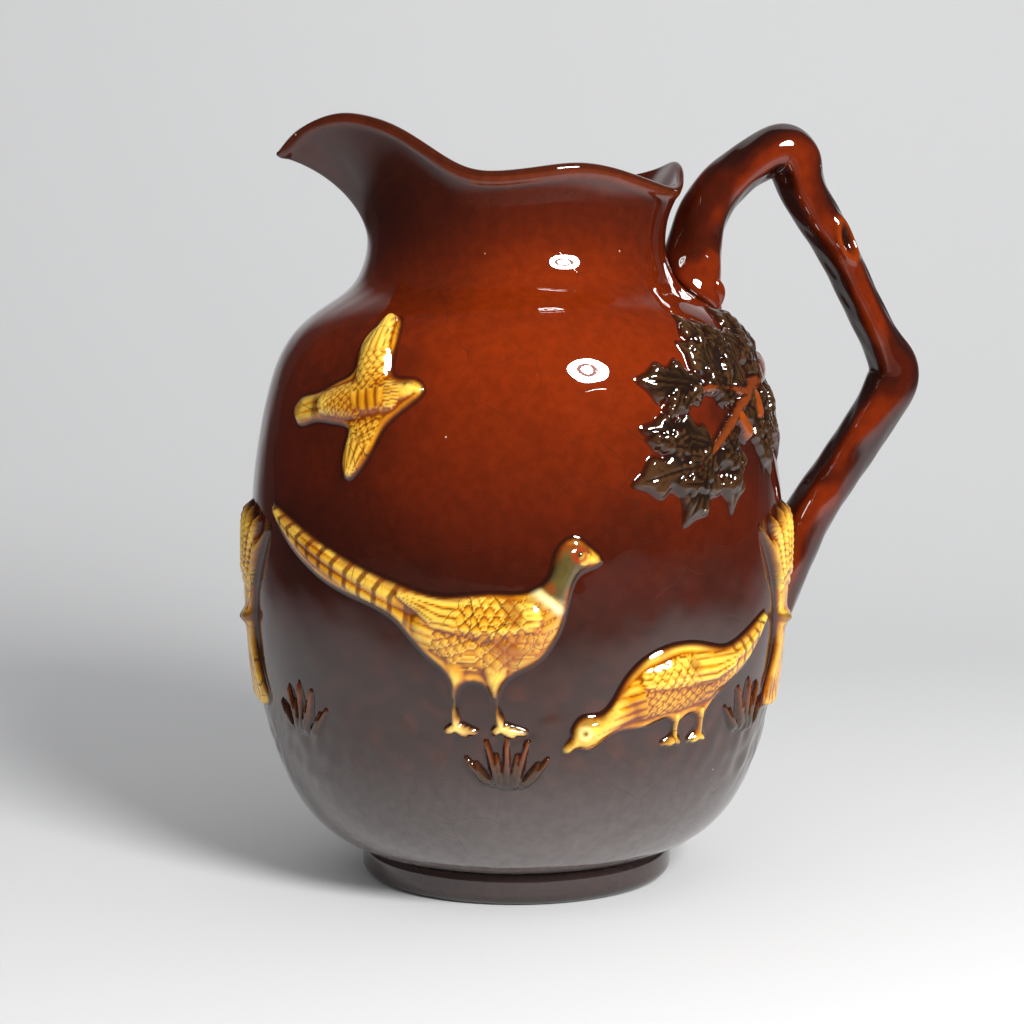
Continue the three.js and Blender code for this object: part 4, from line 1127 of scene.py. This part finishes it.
def hen_pheasant(X, Y):
    part = strokes_of(X, Y, HEN_LENGTH)
    distance = signed_distance(X, Y, in_motif(HEN_OUTLINE, HEN_LENGTH))
    body, body_along, body_across = part([(30, 20), (44, 24), (58, 25), (70, 27.5)], (5.4, 7, 6, 3.6))
    neck, _, _ = part([(29, 20.5), (19.5, 14), (12.5, 9.6)], (4.8, 3, 2.5))
    head, _, _ = part([(9.4, 8.6), (7.6, 7.6)], (3.4, 3))
    beak, _, _ = part([(4.4, 4.8), (0.8, 1.5)], (1.5, 0.6))
    tail, tail_along, tail_across = part([(64, 28), (82, 33.5), (99, 43)], (4.6, 3.2, 0.9))
    wing, wing_along, wing_across = part([(32, 27), (46, 29), (60, 29), (76, 32)], (2.6, 4, 3.4, 0.9))
    rise = join(dome(tail, 0.9), dome(body, 2.2), dome(neck, 1.7), dome(head, 1.9))
    rise = join(rise, dome(beak, 1.1), soft=0.1)
    rise, legs = with_legs(rise, part, HEN_LEGS, (0.7, 0.55), 0.8)
    on_wing, coverts, quills, rear = feathers(wing, wing_along, wing_across, 3.4, 2.3, 6.5, 10)
    rise = rise + 0.6 * on_wing * smooth(1.05, 0.55, wing) + on_wing * 0.3 * mix(coverts, quills, rear)
    on_tail = smooth(1, 0.8, tail) * smooth(2, 6, tail_along) * (1 - on_wing)
    rise = rise + 0.25 * on_tail * np.abs(np.cos(tail_across * 4.2))
    plain = smooth(1, 0.85, np.minimum(body, neck)) * (1 - on_wing) * (1 - on_tail)
    breast = scales(body_across * 6.5, -body_along, 2.4)
    rise = rise + 0.26 * plain * breast
    eye = eye_distance(X, Y, (7.4, 9), HEN_LENGTH)
    rise = rise + 0.25 * bell(eye, 0.5) - 0.15 * bell(eye - 0.9, 0.35)
    rise = (1 + rise) * edge_lift(distance)
    rise, distance = slim_legs(rise, distance, legs, Y, 0.105 * HEN_LENGTH)

    bars = smooth(0.3, 0.75, np.cos(2 * math.pi * (tail_along + np.abs(tail_across)) / 3.6))
    crown = smooth(1, 0.8, head) * smooth(0, 0.7, Y - in_motif((8, 10.8), HEN_LENGTH)[1])
    colour = painted(
        ochre_over(rise),
        (PATCH_BROWN, 0.6 * smooth(0.4, 0, breast) * plain),
        (PATCH_BROWN, 0.75 * on_wing * (1 - rear) * smooth(0.45, 0, coverts)),
        (PATCH_BROWN, 0.6 * on_wing * rear * smooth(0.45, 0.1, quills)),
        (PATCH_BROWN, 0.8 * on_tail * bars),
        (PATCH_BROWN, 0.6 * crown),
        (CREAM, 0.6 * bell(eye - 1.1, 0.5)),
        (POOLED_GLAZE_AND_SHADE, bell(eye, 0.55)),
    )
    return rise, colour, distance


def partridge(X, Y):
    part = strokes_of(X, Y, PARTRIDGE_LENGTH)
    distance = signed_distance(X, Y, in_motif(PARTRIDGE_OUTLINE, PARTRIDGE_LENGTH))
    body, body_along, body_across = part([(34, 42), (58, 45), (78, 48)], (3.2, 5, 4))
    head, _, _ = part([(84, 50), (91, 52)], (2.7, 2.1))
    beak, _, _ = part([(94, 51.5), (100, 51)], (0.9, 0.4))
    tail, tail_along, tail_across = part([(36, 42), (20, 39.5), (3, 35.5)], (3, 2.8, 2))
    near_wing, near_along, near_across = part([(66, 50), (63, 72), (65, 95)], (5, 4.4, 1.6))
    far_wing, far_along, far_across = part([(66, 38), (60, 20), (56, 4)], (4.4, 3.6, 1.2))
    rise = join(dome(tail, 0.8), dome(far_wing, 0.9), dome(body, 2), dome(head, 1.5))
    rise = join(join(rise, dome(beak, 0.7), soft=0.1), dome(near_wing, 1.8))
    on_near = smooth(1.05, 0.9, near_wing)
    on_far = smooth(1.05, 0.9, far_wing) * smooth(0.8, 1, body)
    roots = 0
    quill_gaps = []
    for on_wing, along, across, quill_rate, spread, size, coverts_end, lift in [
        (on_near, near_along, near_across, 7, 4.4, 2.2, 8, 0.3),
        (on_far, far_along, far_across, 6, 3.8, 2.1, 6, 0.28),
    ]:
        quills = np.abs(np.cos(across * quill_rate + 0.3))
        coverts = scales(across * spread, along, size)
        out = smooth(coverts_end, coverts_end + 2, along)
        rise = rise + lift * on_wing * mix(coverts, quills, out)
        roots = roots + on_wing * (1 - out) * smooth(0.45, 0, coverts)
        quill_gaps.append((PATCH_BROWN, 0.6 * on_wing * out * smooth(0.5, 0.1, quills)))
    on_tail = smooth(1, 0.85, tail) * smooth(2, 4, tail_along)
    rise = rise + 0.25 * on_tail * np.abs(np.cos(tail_across * 4.7))
    plain = smooth(1, 0.85, body) * (1 - on_near)
    breast = scales(body_across * 5, body_along, 2)
    rise = rise + 0.24 * plain * breast
    eye = eye_distance(X, Y, (90, 53.5), PARTRIDGE_LENGTH)
    rise = rise + 0.2 * bell(eye, 0.4)
    rise = (0.9 + rise) * edge_lift(distance)

    cap = smooth(1, 0.75, head) * smooth(0, 0.9, Y - in_motif((90, 52.4), PARTRIDGE_LENGTH)[1])
    colour = painted(
        ochre_over(rise),
        (COAT_BROWN, 0.75 * plain * smooth(0.7, 0.1, breast)),
        (PATCH_BROWN, 0.75 * roots),
        *quill_gaps,
        (PATCH_BROWN, 0.7 * on_tail * bell(tail_along - 5, 1.3)),
        (PATCH_BROWN, 0.8 * cap),
        (POOLED_GLAZE_AND_SHADE, bell(eye, 0.4)),
    )
    return rise, colour, distance


SHEAF_EARS = 7
SHEAF_SPLAY = 34
LONG_EAR = 0.62
SHORT_EAR = 0.5
TIE_HEIGHT = 0.38


def ear_places():
    """The lean of each ear in the fan, and its reach above the tie as a share of the sheaf."""
    for i in range(2 * SHEAF_EARS - 1):
        yield math.radians(SHEAF_SPLAY * (1 - i / (SHEAF_EARS - 1))), SHORT_EAR if i % 2 else LONG_EAR


def barley_sheaf(X, Y):
    H = SHEAF_HEIGHT
    outline = [(-0.2, 0.02), (-0.1, 0), (0, 0.015), (0.1, 0), (0.2, 0.02), (0.13, 0.2), (0.095, 0.42),
               (0.13, 0.56)]
    outline += [(reach * math.sin(fan), TIE_HEIGHT + reach * math.cos(fan)) for fan, reach in ear_places()]
    outline += [(-0.13, 0.56), (-0.095, 0.42), (-0.13, 0.2)]
    distance = signed_distance(X, Y, np.array(outline) * H)
    level = Y / H
    half = H * np.interp(level, [0, 0.2, 0.42, 0.56, 0.8], [0.2, 0.13, 0.095, 0.13, 0.26])
    across = X / half
    crown = np.clip(1 - across**2, 0, 1) ** 0.5
    stalks = np.abs(np.cos(across * math.pi * 4.5 + 1.2 * np.sin(level * 9)))
    rise = 0.9 + crown + 0.32 * stalks * smooth(0.68, 0.56, level)
    ears = np.zeros_like(X)
    grains = np.zeros_like(X)
    for fan, reach in ear_places():
        foot = (0.45 * reach * H * math.sin(fan), H * (TIE_HEIGHT + 0.5 * reach * math.cos(fan)))
        tip = (0.985 * reach * H * math.sin(fan), H * (TIE_HEIGHT + 0.985 * reach * math.cos(fan)))
        q, along, side = stroke(X, Y, [foot, tip], (1.9, 1))
        ear = dome(q, 1.7 if reach == LONG_EAR else 1.2)
        rows = np.abs(np.cos(math.pi * (along - 0.9 * np.abs(side)) / 1.7))
        grains = np.where(ear > ears, rows, grains)
        ears = np.maximum(ears, ear)
    head = smooth(0, 0.4, ears) * smooth(0.5, 0.62, level)
    rise = mix(rise, 0.9 + ears + 0.4 * grains * smooth(0.2, 0.8, ears), head)
    band = bell((level - 0.43) * H - 0.4 * across**2, 1.5)
    twist = np.abs(np.cos(across * 5 + (level - 0.43) * H * 0.9))
    rise = rise * (1 - 0.5 * band) + band * (1.75 * crown + 0.35 * twist + 0.6)
    rise = rise * edge_lift(distance)
    colour = painted(
        ochre_over(rise),
        (PATCH_BROWN, 0.8 * smooth(0.35, 0.75, band)),
        (COAT_BROWN, 0.5 * head * smooth(0.5, 0, grains)),
    )
    return rise, colour, distance


OAK_LEAVES = [
    # share along the branch, share up, direction in degrees
    (0.08, 0.02, 75), (0.15, -0.01, -80), (0.2, 0.03, 48), (0.3, 0.035, 110), (0.34, 0.02, -62),
    (0.46, 0.01, -95), (0.48, 0.05, 80), (0.54, 0.01, -128), (0.6, 0.06, 58), (0.7, -0.02, -65),
    (0.7, 0.12, 100), (0.78, 0.154, 25), (0.84, -0.07, -38), (0.86, -0.06, 30), (0.93, -0.1, 5),
]
SMALL_LEAVES = 64
SMALL_LEAF_SIZE = 8
ACORNS = [(0.45, -0.04, 15), (0.62, -0.065, -20)]
BRANCH_PATHS = [
    ([(0, 0), (0.22, 0.012), (0.42, 0.035), (0.6, 0.005), (0.8, -0.058), (1, -0.118)],
     (3, 2.4, 2.1, 1.7, 1.3, 0.6)),
    ([(0.5, 0.03), (0.6, 0.08), (0.72, 0.135), (0.84, 0.168)], (1.5, 1.4, 1.1, 0.6)),
]


def oak_leaf(X, Y, foot, degrees, length, width, lift):
    """Height of one lobed leaf and the distance inside its edge."""
    angle = math.radians(degrees)
    u = ((X - foot[0]) * math.cos(angle) + (Y - foot[1]) * math.sin(angle)) / length
    v = (Y - foot[1]) * math.cos(angle) - (X - foot[0]) * math.sin(angle)
    t = np.clip(u, 0, 1)
    swell = np.sin(math.pi * t**0.8) ** 0.7
    lobes = (1 + 0.22 * np.cos(6 * math.pi * (t - 0.08))) / 1.22
    half = np.maximum(0.5 * width * np.maximum(0.08, swell * lobes), 0.05)
    inside = (half - np.abs(v)) * 0.85 - 6 * length * np.maximum(np.abs(u - 0.5) - 0.5, 0) / 8
    q = np.clip(np.abs(v) / half, 0, 1)
    body = lift + 0.75 * (1 - q**2) ** 0.5 * smooth(0, 0.25, t) * smooth(1.02, 0.7, t)
    lobe_domes = 0.3 * np.cos(6 * math.pi * (t - 0.08)) * q
    midrib = -0.35 * bell(v, 0.35) + 0.12 * bell(np.abs(v) - 0.7, 0.3)
    veins = -0.2 * bell((t - 0.08 - 0.35 * q) * 3 % 1 - 0.5, 0.11) * smooth(0.1, 0.3, q)
    return (body + lobe_domes + midrib + veins) * smooth(-0.25, 0.35, inside), inside


def oak_spray(X, Y):
    L = BRANCH_LENGTH
    droop = math.radians(BRANCH_DROOP)
    X, Y = X * math.cos(droop) - Y * math.sin(droop), X * math.sin(droop) + Y * math.cos(droop)
    rise = np.zeros_like(X)
    inside = np.full(X.shape, -9.0)
    draw = np.random.default_rng(17)
    wood = np.zeros_like(X)
    for path, radii in BRANCH_PATHS:
        q, along, across = stroke(X, Y, np.array(path) * L, radii)
        bark = dome(q, 1.5) + 0.2 * smooth(1, 0.7, q) * np.abs(np.cos(across * 5 + 0.5 * np.sin(along)))
        inside = np.maximum(inside, (1 - q) * 1.8)
        wood = np.maximum(wood, smooth(1, 0.8, q))
        rise = np.maximum(rise, bark)
    leaf_top = np.zeros_like(X)
    big = [((x * L, y * L), direction, LEAF_LENGTH, LEAF_WIDTH) for x, y, direction in OAK_LEAVES]
    small = []
    for _ in range(SMALL_LEAVES):
        foot, direction, length, width = big[draw.integers(len(big))]
        share = draw.uniform(0, 0.62)
        angle = math.radians(direction)
        side = draw.uniform(-0.2, 0.2) * width
        start = (foot[0] + share * length * math.cos(angle) - side * math.sin(angle),
                 foot[1] + share * length * math.sin(angle) + side * math.cos(angle))
        size = SMALL_LEAF_SIZE * draw.uniform(0.75, 1.1)
        small.append((start, direction + draw.uniform(-65, 65), size, 0.62 * size))
    for foot, direction, length, width in big + small:
        lift = 0.55 + (0 if length > 12 else draw.uniform(0.25, 1))
        height, reach = oak_leaf(X, Y, foot, direction, length, width, lift)
        higher = height > rise
        rise = np.where(higher, height, rise)
        wood = np.where(higher & (height > 0.2), 0, wood)
        leaf_top = np.where(higher & (height > 0.2), draw.uniform(0, 1), leaf_top)
        inside = np.maximum(inside, reach)
    nut = np.zeros_like(X)
    for x, y, direction in ACORNS:
        angle = math.radians(direction + 90)
        ends = [(x * L - 1.6 * math.cos(angle), y * L - 1.6 * math.sin(angle)),
                (x * L + 2 * math.cos(angle), y * L + 2 * math.sin(angle))]
        q, along, across = stroke(X, Y, ends, (2.8, 2.5))
        cup = smooth(3.1, 2.7, along + 0 * across)
        acorn = dome(q, 2.3) + 0.15 * cup * scales(across * 2.6, along, 1)
        higher = acorn > rise
        rise = np.where(higher, acorn, rise)
        nut = np.where(higher & (acorn > 0.3), 1, nut)
        inside = np.maximum(inside, (1 - q) * 2.5)
    rise = rise * smooth(-0.9, 0.5, inside) + 0.45 * edge_lift(inside)
    leaves = glaze_over(rise, mix(LEAF_DARK, POOLED_GLAZE_AND_SHADE, 0.8), LEAF_DARK, LEAF_RIDGE)
    colour = painted(
        leaves * (0.7 + 0.6 * leaf_top[..., None]),
        (glaze_over(rise, POOLED_GLAZE_AND_SHADE, 0.5 * PATCH_BROWN, mix(PATCH_BROWN, OCHRE_DEEP, 0.25)), 0.85 * wood),
        (glaze_over(rise, POOLED_GLAZE_AND_SHADE, 0.6 * PATCH_BROWN, mix(PATCH_BROWN, OCHRE_DEEP, 0.5)), 0.9 * nut),
    )
    return rise, colour, inside


def grass_tuft(X, Y):
    H = TUFT_HEIGHT
    rise = np.zeros_like(X)
    inside = np.full(X.shape, -9.0)
    for place_share in np.linspace(-1, 1, 9):
        tall = H * (1 - 0.35 * place_share**2)
        tall = tall * (1 if round(place_share * 4) % 2 == 0 else 0.72)
        foot = (0.22 * place_share * H, 0.5)
        knee = (0.36 * place_share * H, 0.5 * tall)
        tip = (0.62 * place_share * H, tall)
        q, along, across = stroke(X, Y, [foot, knee, tip], (1.3, 1.1, 0.35))
        blade = dome(q, 1.3) - 0.2 * bell(across, 0.25)
        rise = np.maximum(rise, blade)
        inside = np.maximum(inside, (1 - q) * 1.1)
    mound, _, _ = stroke(X, Y, [(-0.2 * H, 0.6), (0.2 * H, 0.6)], (1.8, 1.8))
    rise = join(rise, dome(mound, 0.9))
    inside = np.maximum(inside, (1 - mound) * 1.8)
    above = Y + 0.8 * clouds(X, size=1.2, seed=9)
    inside = inside - 3.2 * smooth(6.5, -0.5, above)
    rise = (rise * smooth(-0.6, 0.4, inside) + 0.3 * edge_lift(inside)) * smooth(-1, 3, above)
    colour = glaze_over(rise, POOLED_GLAZE_AND_SHADE, LEAF_DARK, LEAF_RIDGE)
    return rise, painted(colour, (OCHRE_DEEP, 0.4 * smooth(0.35 * H, 0.95 * H, Y))), inside


def relief(node, slot, sculpt, box, turn, height, flip):
    """One moulded relief on the belly, its edges melting into the jug's own surface and colour, with painted
    shade round its foot.
    """
    left, right, bottom, top = box
    x = np.arange(left - RELIEF_MARGIN, right + RELIEF_MARGIN, RELIEF_STEP)
    y = np.arange(bottom - RELIEF_MARGIN, top + RELIEF_MARGIN, RELIEF_STEP)
    X, Y = np.meshgrid(x, y)
    rise, colour, inside = sculpt(X, Y)
    rise = blur(rise, 0.3)
    if slot == "ochre_glaze":
        drift = clouds(rise, size=2.4, seed=41)
        amber = smooth(1.7, 0.2, inside + 0.45 * drift) * smooth(-1.1, 0.5, drift + 0.4)
        colour = painted(
            colour,
            (mix(OCHRE_DEEP, PATCH_BROWN, 0.35), 0.8 * amber),
            (mix(OCHRE_DEEP, PATCH_BROWN, 0.5), 0.6 * smooth(0.9, 2, clouds(rise, size=1.7, seed=43))),
        )
    side = -1 if flip else 1
    turns = turn + side * np.degrees(X / BELLY_RADIUS)
    points = belly_point(turns, length_at(height) + Y, rise - RELIEF_SINK)
    tint = painted(
        glaze_colour(points, turns),
        # painted shadow: a dark ring just outside each relief's outline, with glaze pooled at its foot
        (POOLED_GLAZE_AND_SHADE, 0.75 * smooth(-2, 0, inside)),
        (colour, smooth(-0.35, 0.75, inside)),
    )
    if flip:
        points = points[:, ::-1]
        tint = tint[:, ::-1]
    glazed(node, points, tint, RELIEF_GLAZES[slot], closed=False)


# Where the motifs stand: degrees from each picture's middle, and the height of their feet
PICTURE_HEIGHT = 46
SHEAF_PLACES = {"front": [-78, 76], "back": [76]}
TUFT_PLACES = [(-52, PICTURE_HEIGHT - 7), (-2, PICTURE_HEIGHT - 15), (58, PICTURE_HEIGHT - 7)]
SPRAY_PLACE = (84, 130)
SPRAY_BOX = (-3, 76, -44, 34)
BIRDS = [
    # name, sculpting, length, height as a share of the length, place
    ("cock_pheasant", cock_pheasant, COCK_LENGTH, 0.56, (-22, PICTURE_HEIGHT)),
    ("hen_pheasant", hen_pheasant, HEN_LENGTH, 0.44, (37, PICTURE_HEIGHT - 4)),
    ("partridge", partridge, PARTRIDGE_LENGTH, 0.97, (-38, 104)),
]


def make_picture(label, middle, flip):
    side = -1 if flip else 1

    def put(name, slot, sculpt, half, top, degrees, height):
        relief(name, slot, sculpt, (-half, half, 0, top), middle + side * degrees, height, flip)

    for name, sculpt, length, share, place in BIRDS:
        put(f"{name}_{label}", "ochre_glaze", sculpt, 0.5 * length, share * length, *place)
    for number, degrees in enumerate(SHEAF_PLACES[label], 1):
        put(f"barley_sheaf_{label}_{number}", "ochre_glaze", barley_sheaf, 0.36 * SHEAF_HEIGHT, SHEAF_HEIGHT,
            degrees, PICTURE_HEIGHT)
    spray_turn = middle + side * SPRAY_PLACE[0]
    relief(f"oak_spray_{label}", "leaf_glaze", oak_spray, SPRAY_BOX, spray_turn, SPRAY_PLACE[1], not flip)
    for number, spot in enumerate(TUFT_PLACES, 1):
        put(f"grass_tuft_{label}_{number}", "dark_glaze", grass_tuft, 0.64 * TUFT_HEIGHT, TUFT_HEIGHT, *spot)


make_picture("front", FRONT_TURN, False)
make_picture("back", BACK_TURN, True)


# Camera, lamps and background, in the camera's own frame: azimuth 0 is the camera's side of the jug

CAMERA_TURN = -12
CAMERA_DISTANCE = 580
CAMERA_HEIGHT = 148.9
CAMERA_PITCH = 5.638
LENS = 80.75
SENSOR = 36
AXIS_SHIFT = -0.0044
# Height at which the lamps are aimed
LIT_HEIGHT = 120


def around(azimuth, distance, height):
    """A point round the jug, by degrees to the right of the camera as the camera sees it."""
    turn = math.radians(CAMERA_TURN + azimuth)
    spot = np.array([distance * math.sin(turn), -distance * math.cos(turn), height])
    return Vector(place(spot))


def facing(thing, azimuth, elevation, distance):
    """Puts a thing at a place round the jug, by its rise in degrees and its distance, turned to the jug."""
    level = distance * math.cos(math.radians(elevation))
    thing.location = around(azimuth, level, LIT_HEIGHT + distance * math.sin(math.radians(elevation)))
    target = around(0, 0, LIT_HEIGHT)
    thing.rotation_euler = (target - thing.location).to_track_quat("-Z", "Y").to_euler()


def make_camera():
    data = bpy.data.cameras.new("camera")
    data.lens = LENS
    data.sensor_width = SENSOR
    data.shift_x = AXIS_SHIFT
    camera = bpy.data.objects.new("camera", data)
    camera.location = around(0, CAMERA_DISTANCE, CAMERA_HEIGHT)
    pitch = math.radians(90 - CAMERA_PITCH)
    camera.rotation_euler = (pitch, 0, math.radians(CAMERA_TURN))
    bpy.context.scene.collection.objects.link(camera)
    bpy.context.scene.camera = camera


def lamp(name, azimuth, elevation, distance, size, power):
    data = bpy.data.lights.new(name, "AREA")
    data.shape = "DISK"
    data.size = size * MM
    data.energy = power
    made = bpy.data.objects.new(name, data)
    facing(made, azimuth, elevation, distance)
    bpy.context.scene.collection.objects.link(made)
    return made


def glowing_plate(name, azimuth, elevation, distance, size):
    bpy.ops.mesh.primitive_circle_add(vertices=96, radius=0.5 * size * MM, fill_type="NGON")
    plate = bpy.context.object
    plate.name = name
    facing(plate, azimuth, elevation, distance)
    material, _, _ = new_material(name, {
        "Base Color": (0.2, 0.2, 0.2, 1), "Emission Color": (1, 1, 1, 1),
        "Emission Strength": PLATE_GLOW,
    })
    plate.data.materials.append(material)


DISH_AZIMUTH = 38
DISH_ELEVATION = 37
DISH_DISTANCE = 1000
DISH_SIZE = 310
DISH_POWER = 22
PLATE_GLOW = 3
PLATE_SHARE = 0.54
MIDDLE_SHARE = 0.31
FLOOD_AZIMUTH = 31
FLOOD_ELEVATION = 25
FLOOD_DISTANCE = 900
FLOOD_SIZE = 300
FLOOD_POWER = 10.4


def make_lamps():
    """A dish with a plate in its middle, mirrored by the glaze alone, and a low flood lamp for the light."""
    way = (DISH_AZIMUTH, DISH_ELEVATION)
    dish = lamp("dish", *way, DISH_DISTANCE, DISH_SIZE, DISH_POWER)
    glowing_plate("dish_plate", *way, DISH_DISTANCE - 20, PLATE_SHARE * DISH_SIZE)
    middle = lamp("dish_middle", *way, DISH_DISTANCE - 30, MIDDLE_SHARE * DISH_SIZE,
                  MIDDLE_SHARE**2 * DISH_POWER)
    dish.visible_diffuse = False
    middle.visible_diffuse = False
    flood = lamp("flood", FLOOD_AZIMUTH, FLOOD_ELEVATION, FLOOD_DISTANCE, FLOOD_SIZE, FLOOD_POWER)
    flood.visible_glossy = False


PAPER_NEAR = 720
PAPER_HALF_WIDTH = 900
PAPER_FAR = 350
PAPER_TOP = 1500
PAPER_BEND = 500
# The foot stands this little above the paper, so that no two faces lie in one plane
PAPER_DROP = 0.05
PAPER_WHITE = 0.8
BACKDROP_WHITE = 0.82
# Distances over which the paper's reflection in the glaze comes in, and its share farther out
MIRRORED_FRONT = (-340, -100)
MIRRORED_SIDE = (640, 240)
MIRRORED_FAR_OFF = 0.1


def make_paper():
    """White paper that runs back from the front of the table and curves up behind the jug.
    The glaze mirrors only the paper near the jug: farther out its reflection fades away."""
    section = [(y, 0) for y in np.linspace(-PAPER_NEAR, PAPER_FAR, 30)]
    for degrees in range(6, 91, 6):
        angle = math.radians(degrees)
        section.append((PAPER_FAR + PAPER_BEND * math.sin(angle), PAPER_BEND * (1 - math.cos(angle))))
    section.append((PAPER_FAR + PAPER_BEND, PAPER_TOP))
    turn = math.radians(CAMERA_TURN)
    back = np.array([-math.sin(turn), math.cos(turn), 0])
    right = np.array([math.cos(turn), math.sin(turn), 0])
    sides = np.linspace(-PAPER_HALF_WIDTH, PAPER_HALF_WIDTH, 41)
    points = np.array([[back * y + right * x + [0, 0, z - PAPER_DROP] for x in sides] for y, z in section])
    depth, rise = np.array(section).T[:, :, None]
    white = mix(PAPER_WHITE, BACKDROP_WHITE, smooth(0, 300, rise)) + 0 * sides
    near = smooth(*MIRRORED_FRONT, depth) * smooth(*MIRRORED_SIDE, np.abs(sides))
    mirrored = white * mix(MIRRORED_FAR_OFF, 1, near)
    paper = grid_object("paper", points, np.stack([white, mirrored, white], axis=-1), paper_material(),
                        closed=False)


def paper_material():
    """White paper with a second shade, which shows where the glaze mirrors it."""
    material, tree, shader = new_material("paper", {"Roughness": 0.9, "Specular IOR Level": 0})
    shades = add_node(tree, "ShaderNodeSeparateColor", {"Color": painted_colour(tree)}).outputs
    mirrored = add_node(tree, "ShaderNodeLightPath", {}).outputs["Is Glossy Ray"]
    shade = add_node(tree, "ShaderNodeMix", {"Factor": mirrored, "A": shades["Red"], "B": shades["Green"]})
    set_sockets(tree, shader, {"Base Color": shade.outputs["Result"]})
    return material


FILL_COLOUR = (0.97, 0.98, 1, 1)
FILL_STRENGTH = 0.43
ROOM_COLOUR = (0.03, 0.03, 0.035, 1)


def make_world():
    """Soft fill for what isn't mirrored, and a dim room in the reflections."""
    world = bpy.data.worlds.new("room")
    bpy.context.scene.world = world
    world.use_nodes = True
    tree = world.node_tree
    fill = tree.nodes["Background"]
    set_sockets(tree, fill, {"Color": FILL_COLOUR, "Strength": FILL_STRENGTH})
    dim = add_node(tree, "ShaderNodeBackground", {"Color": ROOM_COLOUR})
    mirrored = add_node(tree, "ShaderNodeLightPath", {}).outputs["Is Glossy Ray"]
    choose = add_node(tree, "ShaderNodeMixShader", {0: mirrored, 1: fill.outputs[0], 2: dim.outputs[0]})
    set_sockets(tree, tree.nodes["World Output"], {"Surface": choose.outputs[0]})


make_camera()
make_lamps()
make_paper()
make_world()
bpy.context.scene.view_settings.view_transform = "Standard"
